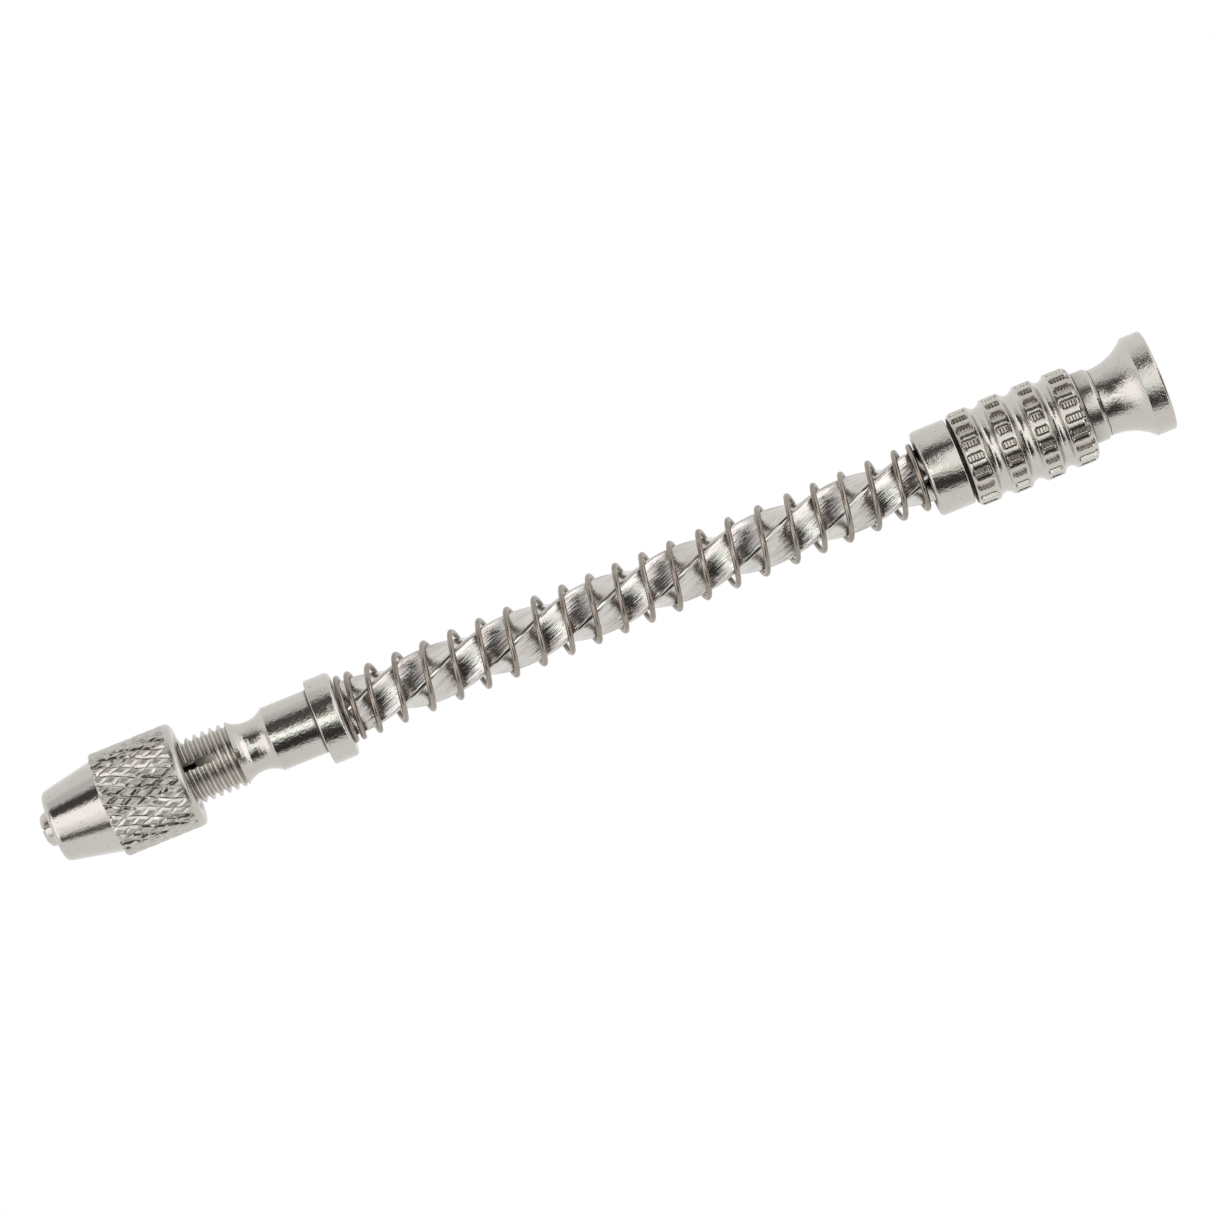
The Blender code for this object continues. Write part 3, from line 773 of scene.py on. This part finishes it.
def make_chuck_body():
    """The slotted, threaded stud, the undercut neck and the plain cylinder, turned as one."""
    neck = arc((NECK_RADIUS + NECK_ARC_RADIUS, NECK_STATION), NECK_ARC_RADIUS, *NECK_ARC)
    corners = [
        (0.0, SOCKET_START, 0),
        (TENON_RADIUS, SOCKET_START, 0),
        (TENON_RADIUS, BODY_END, 0),
        (BODY_RADIUS, BODY_END, 0.1),
        (BODY_RADIUS, BODY_END - 0.3, 0),
        (BODY_RADIUS, BODY_START, 0.12),
        *neck,
        (THREAD_RADIUS, THREAD_END, 0),
        (THREAD_RADIUS, BODY_FRONT + STUD_CHAMFER, 0.1),
        (THREAD_RADIUS - STUD_CHAMFER, BODY_FRONT, 0),
        (STUD_BORE_RADIUS, BODY_FRONT, 0),
        (STUD_BORE_RADIUS, STUD_BORE_END, 0),
        (0.0, STUD_BORE_END, 0),
    ]
    points = soften(corners, False)
    points = densify(points, BODY_FRONT + STUD_CHAMFER, BODY_START, THREAD_STEP, False)
    body = lathe("chuck_body_threaded", points, False, BODY_SIDES, thread_relief)
    body.data.materials.append(NICKEL_CHUCK)
    cut(body, saw_disc(SLOT_TILT), saw_disc(SLOT_TILT + 180))

    # Painted shade inside the bore and the slot, and along the rear seam against the spring seat.
    def painted_shade(radius, angle, station):
        bore = 0.85 * fade(radius, 1.65, 2.2) * (station < SLOT_END)
        seam = 0.85 * fade(station, BODY_END - 0.08, BODY_END - 0.28)
        return np.maximum(bore, seam)

    def dull(radius, angle, station):
        thread = 0.12 * fade(station, THREAD_END, THREAD_END + 0.6)
        return thread + 0.08 * fade(station, NECK_STATION, BODY_START)

    def low(radius, angle, station):
        return (station < THREAD_END) * (THREAD_RADIUS - radius) / THREAD_DEPTH

    store_shade_and_wear(body, painted_shade, dull, low)
    finish_piece(body, "chuck_body", "spindle")


def saw_disc(tilt):
    """A cutter: the slitting saw's disc, which leaves the slot's floor rising to its end."""
    cage = bmesh.new()
    bmesh.ops.create_cone(
        cage,
        cap_ends=True,
        segments=320,
        radius1=SAW_RADIUS * MM,
        radius2=SAW_RADIUS * MM,
        depth=SLOT_WIDTH * 0.998 * MM,
    )
    reach = math.sqrt(SAW_RADIUS**2 - (SAW_HEIGHT - THREAD_RADIUS) ** 2)
    centre = Vector((TIP_X + (SLOT_END - reach) * MM, 0, SAW_HEIGHT * MM))
    turn_about_x(cage, 90)
    bmesh.ops.translate(cage, vec=centre, verts=cage.verts)
    turn_about_x(cage, tilt)
    bmesh.ops.translate(cage, vec=Vector((0, 0, AXIS_Z)), verts=cage.verts)
    return cage_object("saw_disc", cage, SLOT_FLOOR)


# ---------------------------------------------------------------- spindle
def off_axis(offset, inside):
    """A relief that moves a piece's outside sideways, and leaves what is nearer than inside."""

    def relief(radius, angle, station):
        return radius + offset * np.sin(angle) * (radius > inside)

    return relief


def make_spring_seat():
    """The flange that the spring stands on, pressed a little off the axis."""
    corners = [
        (SEAT_RADIUS, SEAT_FACE, 0.48),
        (SEAT_RADIUS, SEAT_FRONT, 0.16),
        (TENON_RADIUS, SEAT_FRONT, 0),
        (TENON_RADIUS, SEAT_FACE, 0),
    ]
    outside = off_axis(SEAT_OFFSET, SEAT_INSIDE)
    seat = lathe("spring_seat_flange", soften(corners, True), sides=FINE_SIDES, relief=outside)

    # Painted shade on the inner front face against the chuck body and the inner rear face under the
    # spring.
    def painted_shade(radius, angle, station):
        front = 0.8 * fade(radius, 3.05, 3.5) * (station < SEAT_FRONT + 0.1)
        rear = 0.5 * fade(radius, 3.1, 3.4) * (station > SEAT_FACE - 0.1)
        return np.maximum(front, rear)

    def dull(radius, angle, station):
        return 0.15 * fade(station, SEAT_FACE - 0.3, SEAT_FACE - 0.42)

    store_shade_and_wear(seat, painted_shade, dull)
    finish_piece(seat, "spring_seat", "spindle", NICKEL)


def twist_angle(station):
    """Turn of the square bar at a station, in radians."""
    return -TAU * (station - TWIST_CROSSING) / TWIST_LEAD


def square_outline(growth=0.0):
    """Angles and radii of the square with blunted corners. growth moves it all outwards."""
    corner = list(np.linspace(-7.0, 7.0, 15))
    flat = list(np.linspace(9.0, 81.0, 11))
    angle = np.radians([quarter * 90 + a for quarter in range(4) for a in corner + flat])
    to_flat = CORNER_RADIUS * math.cos(math.radians(45 - CORNER_HALF_ANGLE)) + growth
    flats = to_flat / np.cos((angle % (TAU / 4)) - TAU / 8)
    turned = CORNER_RADIUS + growth
    blend = np.log(np.exp(-(flats - turned) / CORNER_ROUNDING) + 1)
    radius = -CORNER_ROUNDING * blend + turned
    radius = np.where(flats - turned < -0.3, flats, radius)
    return angle, radius


def twisted_rows(start, end, growth=0.0):
    """Rows of the twisted bar's points, as (radius, angle, station)."""
    angle, radius = square_outline(growth)
    rows = []
    for station in np.linspace(start, end, math.ceil((end - start) / TWIST_STEP) + 1):
        rows.append((radius, angle + twist_angle(station), np.full_like(angle, station)))
    return rows


def round_row(radius, station, turn):
    """A round row with as many points as the square ones."""
    angle, _ = square_outline()
    return np.full_like(angle, radius), angle + turn, np.full_like(angle, station)


def rows_object(name, rows):
    """An object through rows of (radius, angle, station), with its two ends capped."""
    radius, angle, station = (np.array(part) for part in zip(*rows))
    return new_object(name, grid_mesh(name, place(radius, angle, station), False, caps=True))


def make_twisted_shaft():
    """The twisted square bar with its round ends and the cap screw's hole."""
    first = twist_angle(TWIST_START)
    last = twist_angle(TWIST_END)
    rows = [
        round_row(SHAFT_FRONT_RADIUS, SHAFT_FRONT, first),
        round_row(SHAFT_FRONT_RADIUS, TWIST_START, first),
        *twisted_rows(TWIST_START, TWIST_END),
        round_row(JOURNAL_RADIUS, TWIST_END, last),
        round_row(JOURNAL_RADIUS, SHAFT_REAR, last),
        round_row(SCREW_HOLE_RADIUS, SHAFT_REAR, last),
        round_row(SCREW_HOLE_RADIUS, SHAFT_REAR - SCREW_HOLE_DEPTH, last),
    ]
    shaft = rows_object("twisted_square_shaft", rows)
    radius, angle, station = cylinder_places(shaft)
    straight = angle - np.vectorize(twist_angle)(np.clip(station, TWIST_START, TWIST_END))
    flow = np.stack([radius * np.cos(straight), radius * np.sin(straight), station], axis=-1)
    store_vectors(shaft, "flow", flow)
    finish_piece(shaft, "twisted_shaft", "spindle", BAR)


def spring_path():
    """Turns, angles and stations along the wire, which fills the room between seat and slider."""
    start = SEAT_REAR + SPRING_GAP + WIRE_RADIUS
    end = NOSE_FRONT - SPRING_GAP - WIRE_RADIUS
    count = round(SPRING_TURNS * SPRING_STEPS_PER_TURN)
    step = SPRING_TURNS / count
    turns = (np.arange(count) + 0.5) * step
    share = fade(turns, FRONT_OPENING[1], FRONT_OPENING[0])
    share = share * fade(SPRING_TURNS - turns, REAR_OPENING[1], REAR_OPENING[0])
    room = end - start - CLOSED_PITCH * SPRING_TURNS
    advance = CLOSED_PITCH * step + share * room / share.sum()
    station = start + np.concatenate([[0.0], np.cumsum(advance)])
    even = station.copy()
    for middle, width, shift in UNEVEN_PITCH:
        station += shift * np.exp(-(((even - middle) / width) ** 2) / 2)
    turned = np.arange(count + 1) * step
    return turned, math.radians(SPRING_PHASE) - TAU * turned, station


def make_return_spring():
    """The coil spring, built in one fixed shape; on the tool it squashes against the spring seat when
    the grip slides.
    """
    turned, angle, station = spring_path()
    centre = place(COIL_RADIUS, angle, station)
    along = np.gradient(centre, axis=0)
    along /= np.linalg.norm(along, axis=1)[:, None]
    outward = place(1.0, angle, 0.0) - place(0.0, angle, 0.0)
    outward /= np.linalg.norm(outward, axis=1)[:, None]
    side = np.cross(along, outward)
    side /= np.linalg.norm(side, axis=1)[:, None]
    around = np.arange(WIRE_SIDES) / WIRE_SIDES * TAU
    across = outward[:, None] * np.cos(around)[None, :, None]
    lengthwise = side[:, None] * np.sin(around)[None, :, None]
    rows = centre[:, None] + (across + lengthwise) * WIRE_RADIUS * MM
    mesh = grid_mesh("coil_return_spring", rows, False, caps=True)
    flow = np.zeros((len(turned), WIRE_SIDES, 3))
    flow[..., 0] = WIRE_RADIUS * np.cos(around)
    flow[..., 1] = WIRE_RADIUS * np.sin(around)
    flow[..., 2] = (turned * TAU * COIL_RADIUS)[:, None]
    spring = new_object("coil_return_spring", mesh)
    store_vectors(spring, "flow", flow.reshape(-1, 3))
    finish_piece(spring, "return_spring", "spindle", WIRE)
    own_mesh(spring)


def make_stop_collar():
    """The collar on the shaft that the grip runs back against."""
    corners = [
        (COLLAR_BORE_RADIUS, COLLAR_END, 0),
        (COLLAR_RADIUS - 0.24, COLLAR_END, 0.06),
        (COLLAR_RADIUS, COLLAR_END - 0.3, 0.1),
        (COLLAR_RADIUS, COLLAR_FRONT, 0.08),
        (COLLAR_BORE_RADIUS, COLLAR_FRONT, 0),
    ]
    outside = off_axis(COLLAR_OFFSET, COLLAR_INSIDE)
    collar = lathe("stop_collar_ring", soften(corners, True), sides=FINE_SIDES, relief=outside)

    # Painted shade on the front face by the spring and at the rear edge against the palm cap.
    def painted_shade(radius, angle, station):
        front = 0.35 * fade(station, COLLAR_FRONT, COLLAR_FRONT + 0.3)
        rear = 0.1 * fade(station, COLLAR_END - 0.02, COLLAR_END - 0.08)
        return np.maximum(front, rear)

    store_shade_and_wear(collar, painted_shade)
    finish_piece(collar, "stop_collar", "spindle", NICKEL)


# ---------------------------------------------------------------- slider
def make_slide_nose():
    """The plain bush at the front of the grip, with its stem inside the sleeve."""
    corners = [
        (NOSE_BORE_RADIUS, STEM_END, 0),
        (STEM_RADIUS, STEM_END, 0.1),
        (STEM_RADIUS, NOSE_REAR, 0),
        (NOSE_RADIUS, NOSE_REAR, 0.13),
        (NOSE_RADIUS, NOSE_FRONT, 0.42),
        (NOSE_BORE_RADIUS, NOSE_FRONT, 0.12),
    ]
    nose = lathe("slide_nose_bush", soften(corners, True), sides=FINE_SIDES)

    # Painted shade where the stem goes into the grip, inside the bore, and on the front rim by the
    # spring.
    def painted_shade(radius, angle, station):
        stem = fade(station, NOSE_REAR - 0.01, NOSE_REAR - 0.06)
        bore = fade(radius, NOSE_BORE_RADIUS + 0.05, NOSE_BORE_RADIUS + 0.5)
        rim = 0.35 * fade(station, NOSE_FRONT, NOSE_FRONT + 0.16)
        return np.maximum(np.maximum(stem, bore), rim)

    store_shade_and_wear(nose, painted_shade)
    finish_piece(nose, "slide_nose", "slider", NICKEL)


def ring_share(station):
    """How far a station lies inside a ring, faded out near the ring's edges, from 0 to 1."""
    share = np.zeros_like(station)
    for low, high, _ in RINGS:
        inside = np.minimum(station - low - RING_EDGE, high - RING_EDGE - station) / RING_FADE
        share = np.maximum(share, np.clip(inside, 0, 1))
    return share


def flute_relief(radius, angle, station):
    """Straight flutes with round ends, pressed into the rings, with a chattered floor."""
    turns = (angle - math.radians(FLUTE_PHASE)) / TAU * FLUTES
    nearest = away(turns)
    end_rounding = FLUTE_END_ROUNDING * (1 - ring_share(station))
    wall = fade(nearest + end_rounding, FLUTE_HALF_WIDTH - FLUTE_WALL, FLUTE_HALF_WIDTH)
    drift = 0.8 * np.sin(3.0 * np.round(turns))
    chatter = CHATTER_DEPTH * (np.sin(station * TAU / CHATTER_PITCH + drift) - 0.6 * (2 * nearest) ** 2)
    from_crest = np.clip((0.5 - nearest) / (0.5 - FLUTE_HALF_WIDTH), 0, 1)
    depth = ((FLUTE_DEPTH + chatter) * wall + LAND_CROWN * from_crest**2) * ring_share(station)
    pressed = radius - np.where(radius > GROOVE_RADIUS + 0.2, depth, 0.0)
    return pressed + GRIP_OFFSET * np.sin(angle) * (radius > GRIP_BORE_RADIUS + 0.1)


def groove(low, high, edge_high, edge_low):
    """Corners of a hollow groove from its high station down to its low one."""
    middle = (low + high) / 2
    half = (high - low) / 2
    edge = (edge_high + edge_low) / 2
    offsets = np.linspace(1, -1, 23)[1:-1]
    return [(edge - (edge - GROOVE_RADIUS) * (1 - x * x), middle + x * half, 0) for x in offsets]


def grip_corners():
    """Corners of the grip from its rear end to its front: rings with grooves between them."""
    corners = [(GRIP_BORE_RADIUS, GRIP_REAR, 0)]
    for i in reversed(range(len(RINGS))):
        low, high, radius = RINGS[i]
        if i == len(RINGS) - 1:
            corners += [(radius - 0.45, high, 0.08), (radius, high - 0.42, 0.2), (radius, low, 0.05)]
        elif i == 0:
            corners += [(radius, high, 0.05), (radius, low + 0.3, 0.2), (radius - 0.4, low, 0.08)]
        else:
            corners += [(radius, high, 0.05), (radius, low, 0.05)]
        if i > 0:
            corners += groove(RINGS[i - 1][1], low, radius, RINGS[i - 1][2])
    corners.append((GRIP_BORE_RADIUS, GRIP_FRONT, 0))
    return corners


def make_grip_sleeve():
    """The sliding grip: a sleeve with four fluted rings and three grooves."""
    points = densify(soften(grip_corners(), True), GRIP_FRONT, GRIP_REAR, GRIP_STEP, True)
    grip = lathe("grip_sleeve_fluted", points, sides=GRIP_SIDES, relief=flute_relief)

    # Painted shade on the inner parts of the front and rear faces, beside the slide nose and the rear
    # bush.
    def painted_shade(radius, angle, station):
        front = fade(station, GRIP_FRONT + 0.02, GRIP_FRONT + 0.1) * fade(radius, 4.05, 4.25)
        rear = 0.4 * fade(station, GRIP_REAR - 0.02, GRIP_REAR - 0.2) * fade(radius, 3.6, 3.95)
        return np.maximum(front, rear)

    def low(radius, angle, station):
        depth = np.zeros_like(radius)
        for start, end, crest in RINGS:
            inside = (station > start + 0.15) & (station < end - 0.15)
            depth = np.where(inside, (crest - radius) / FLUTE_DEPTH, depth)
        return depth

    store_shade_and_wear(grip, painted_shade, None, low)
    finish_piece(grip, "grip_sleeve", "slider", FLUTED)


def make_drive_nut():
    """The bush with the twisted square hole that turns the shaft."""
    front, rear = span("drive_nut")
    corners = [
        (0.0, rear, 0),
        (STEM_RADIUS, rear, 0.12),
        (STEM_RADIUS, front, 0.12),
        (0.0, front, 0),
    ]
    nut = lathe("twisted_hole_drive_nut", soften(corners, False), closed=False)
    rows = twisted_rows(front - HOLE_OVERRUN, rear + HOLE_OVERRUN, growth=HOLE_PLAY)
    hole = rows_object("hole", rows)
    nut.data.materials.append(BRASS)
    hole.data.materials.append(BRASS)
    cut(nut, hole)
    finish_piece(nut, "drive_nut", "slider")


def make_rear_bush():
    """The plain bush that closes the back of the grip."""
    front, rear = span("rear_bush")
    corners = [
        (REAR_BUSH_BORE_RADIUS, rear, 0.1),
        (STEM_RADIUS, rear, 0.1),
        (STEM_RADIUS, front, 0.1),
        (REAR_BUSH_BORE_RADIUS, front, 0.1),
    ]
    bush = lathe("plain_rear_bush", soften(corners, True))
    finish_piece(bush, "rear_bush", "slider", BRASS)


# ---------------------------------------------------------------- palm cap
def make_palm_cap():
    """The flared cap for the palm, with a recess in its face for the screw and washer."""
    reach = FLARE_END - FLARE_START
    rise = CAP_RADIUS - CAP_NECK_RADIUS
    radius = (reach * reach + rise * rise) / (2 * rise)
    sweep = math.degrees(math.asin(reach / radius))
    flare = arc((CAP_NECK_RADIUS + radius, FLARE_START), radius, 180 - sweep, 180, steps=40)
    corners = [
        (CAP_RADIUS, CAP_REAR, 0.26),
        *flare,
        (CAP_NECK_RADIUS, CAP_FRONT, 0.05),
        (CAP_BORE_RADIUS, CAP_FRONT, 0),
        (CAP_BORE_RADIUS, RECESS_START, 0),
        (RECESS_RADIUS, RECESS_START, 0.12),
        (RECESS_RADIUS, CAP_REAR, 0.14),
    ]
    outside = off_axis(CAP_OFFSET, RECESS_RADIUS + 0.2)
    cap = lathe("palm_cap_flared", soften(corners, True), sides=FINE_SIDES, relief=outside)

    # Painted shade along the front seam against the collar and inside the recess for the screw and
    # washer.
    def painted_shade(radius, angle, station):
        seam = 0.1 * fade(station, CAP_FRONT + 0.01, CAP_FRONT + 0.06)
        recess = fade(radius, RECESS_RADIUS, RECESS_RADIUS + 0.1) * (station > RECESS_START - 0.1)
        return np.maximum(seam, 0.5 * recess)

    store_shade_and_wear(cap, painted_shade)
    finish_piece(cap, "palm_cap", "handle", NICKEL_CAP)


def make_thrust_washer():
    """The washer that takes the palm's push."""
    front, rear = span("thrust_washer")
    corners = [
        (WASHER_BORE_RADIUS, rear, 0.05),
        (WASHER_RADIUS, rear, 0.1),
        (WASHER_RADIUS, front, 0.05),
        (WASHER_BORE_RADIUS, front, 0),
    ]
    washer = lathe("brass_thrust_washer", soften(corners, True))
    finish_piece(washer, "thrust_washer", "spindle", BRASS)


def make_cap_screw():
    """The slotted screw that holds the palm cap on the shaft."""
    front, rear = span("cap_screw")
    head = rear - SCREW_HEAD_HEIGHT
    corners = [
        (0.0, rear, 0),
        (SCREW_CROWN_RADIUS, rear - 0.03, 0.3),
        (SCREW_HEAD_RADIUS, rear - 0.25, 0.12),
        (SCREW_HEAD_RADIUS, head, 0.05),
        (SCREW_RADIUS, head, 0),
        (SCREW_RADIUS, front, 0.1),
        (0.0, front, 0),
    ]
    screw = lathe("slotted_cap_screw", soften(corners, False), closed=False, sides=96)
    screw.data.materials.append(SCREW)
    cut(screw, box_at("screw_slot", SCREW_SLOT_SIZE, rear, SCREW_SLOT_TILT, SCREW))
    finish_piece(screw, "cap_screw", "spindle")


# ---------------------------------------------------------------- floor, light and camera
# Places and sizes here are metres, the roll is degrees, and the sensor and lens are millimetres.
FLOOR_HALF_SIZE = 3.0
FLOOR_GAP = 0.0002
CARD_DISTANCE = 0.8
NEAR_CARD_DISTANCE = 0.1
CARD_STEPS = 16
CAMERA_PLACE = (0.00046, -0.00028)
CAMERA_DISTANCE = 0.518
CAMERA_ROLL = -22.05
SENSOR_WIDTH = 36.0
FOCAL_LENGTH = 174.2
LAVENDER = (1.03, 1.0, 1.03)
GREENISH = (0.96, 1.0, 0.965)
WARM = (1.0, 0.95, 0.9)


def emission(name, strength, colour=(1, 1, 1)):
    """A material that only shines."""
    material = bpy.data.materials.new(name)
    material.use_nodes = True
    tree = material.node_tree
    tree.nodes.clear()
    shine = tree.nodes.new("ShaderNodeEmission")
    shine.inputs["Color"].default_value = (*colour, 1)
    shine.inputs["Strength"].default_value = strength
    output = tree.nodes.new("ShaderNodeOutputMaterial")
    tree.links.new(shine.outputs["Emission"], output.inputs["Surface"])
    return material


# Softboxes brighten what the metal reflects, and flags darken it:
# name, strength, colour, tilts from straight up in degrees, and reach along the tool in metres
CARDS = (
    ("far_front_softbox", 1.55, LAVENDER, (-48, 46), (-3.2, -0.78)),
    ("far_front_upper_flag", 0.3, WARM, (-68, -48), (-3.2, -0.78)),
    ("front_softbox", 1.55, LAVENDER, (-28, 10), (-0.78, -0.36)),
    ("front_softbox_side", 1.3, LAVENDER, (10, 25), (-0.78, -0.36)),
    ("front_softbox_edge", 1.0, LAVENDER, (25, 38), (-0.78, -0.36)),
    ("front_upper_flag", 0.07, WARM, (-64, -28), (-0.78, -0.36)),
    ("front_lower_flag", 0.13, WARM, (38, 57), (-0.78, -0.36)),
    ("middle_softbox", 2.1, GREENISH, (-10, 7), (-0.36, 0.03)),
    ("middle_softbox_end", 1.3, GREENISH, (-10, 7), (0.03, 0.3)),
    ("middle_lower_glow", 0.55, GREENISH, (7, 15), (-0.36, 0.03)),
    ("middle_lower_flag", 0.05, WARM, (15, 58), (-0.36, 0.03)),
    ("end_lower_glow", 0.85, GREENISH, (7, 20), (0.03, 0.118)),
    ("end_lower_flag", 0.05, WARM, (20, 58), (0.03, 0.118)),
    ("rim_lower_glow", 1.1, GREENISH, (7, 22), (0.118, 0.34)),
    ("rim_lower_flag", 0.04, WARM, (22, 62), (0.118, 0.34)),
    ("middle_upper_glow", 0.6, GREENISH, (-15, -10), (-0.36, 0.025)),
    ("middle_upper_flag", 0.1, WARM, (-61, -15), (-0.36, 0.025)),
    ("rear_side_softbox", 1.35, LAVENDER, (-33, -10), (0.025, 0.3)),
    ("rear_upper_flag", 0.07, WARM, (-68, -33), (0.025, 0.118)),
    ("end_upper_flag", 0.04, WARM, (-61, -44), (0.118, 0.34)),
    ("end_middle_flag", 0.5, WARM, (-44, -38), (0.118, 0.34)),
    ("end_thin_flag", 0.3, WARM, (-73, -69), (0.118, 0.3)),
    ("end_thinner_flag", 0.3, WARM, (-84, -80), (0.118, 0.3)),
    ("rear_wide_softbox", 2.0, LAVENDER, (-66, 64), (0.34, 0.55)),
    ("rear_softbox", 1.5, LAVENDER, (-38, 28), (0.55, 1.3)),
    ("rear_lower_flag", 0.08, WARM, (30, 57), (0.55, 1.3)),
    ("upper_shade", 0.76, LAVENDER, (-110, -61), (-0.7, 0.0)),
)
# The same, for cards close to the tool.
NEAR_CARDS = (
    ("near_flag", 0.05, WARM, (-21, 57), (0.1, 0.5)),
)


def make_floor():
    """The white paper under the tool."""
    cage = bmesh.new()
    bmesh.ops.create_grid(cage, x_segments=1, y_segments=1, size=FLOOR_HALF_SIZE)
    floor = cage_object("floor", cage, emission("white_floor", 1.0))
    floor.location.z = CAD_LOW.z - FLOOR_GAP


def card(distance, name, strength, colour, tilts, along):
    """A curved card over the tool, between two tilts from straight up, towards -Y if positive."""
    points = []
    for i in range(CARD_STEPS + 1):
        tilt = math.radians(tilts[0] + (tilts[1] - tilts[0]) * i / CARD_STEPS)
        y = -distance * math.sin(tilt)
        z = AXIS_Z + distance * math.cos(tilt)
        points += [(along[0], y, z), (along[1], y, z)]
    faces = [(2 * i, 2 * i + 1, 2 * i + 3, 2 * i + 2) for i in range(CARD_STEPS)]
    mesh = bpy.data.meshes.new(name)
    mesh.from_pydata(points, [], faces)
    mesh.materials.append(emission(name, strength, colour))
    obj = add_object(name, mesh)
    obj.visible_camera = False
    obj.visible_shadow = False


def make_light():
    """A white room, with the cards that give the metal its bright and dark bands."""
    world = bpy.data.worlds.new("white_room")
    world.use_nodes = True
    world.node_tree.nodes["Background"].inputs["Color"].default_value = (1, 1, 1, 1)
    world.node_tree.nodes["Background"].inputs["Strength"].default_value = 1.0
    bpy.context.scene.world = world
    for entry in CARDS:
        card(CARD_DISTANCE, *entry)
    for entry in NEAR_CARDS:
        card(NEAR_CARD_DISTANCE, *entry)


def make_camera():
    """Straight above the tool, with the tool's axis rising to the right in the frame."""
    data = bpy.data.cameras.new("camera")
    data.sensor_width = SENSOR_WIDTH
    data.lens = FOCAL_LENGTH
    data.clip_start = 0.01
    data.clip_end = 10.0
    camera = add_object("camera", data)
    camera.location = (*CAMERA_PLACE, AXIS_Z + CAMERA_DISTANCE)
    camera.rotation_euler = (0, 0, math.radians(CAMERA_ROLL))
    bpy.context.scene.camera = camera


make_chuck_nut()
make_collet()
make_chuck_body()
make_spring_seat()
make_twisted_shaft()
make_return_spring()
make_stop_collar()
make_slide_nose()
make_grip_sleeve()
make_drive_nut()
make_rear_bush()
make_palm_cap()
make_thrust_washer()
make_cap_screw()
make_floor()
make_light()
make_camera()
bpy.context.scene.view_settings.view_transform = "Standard"
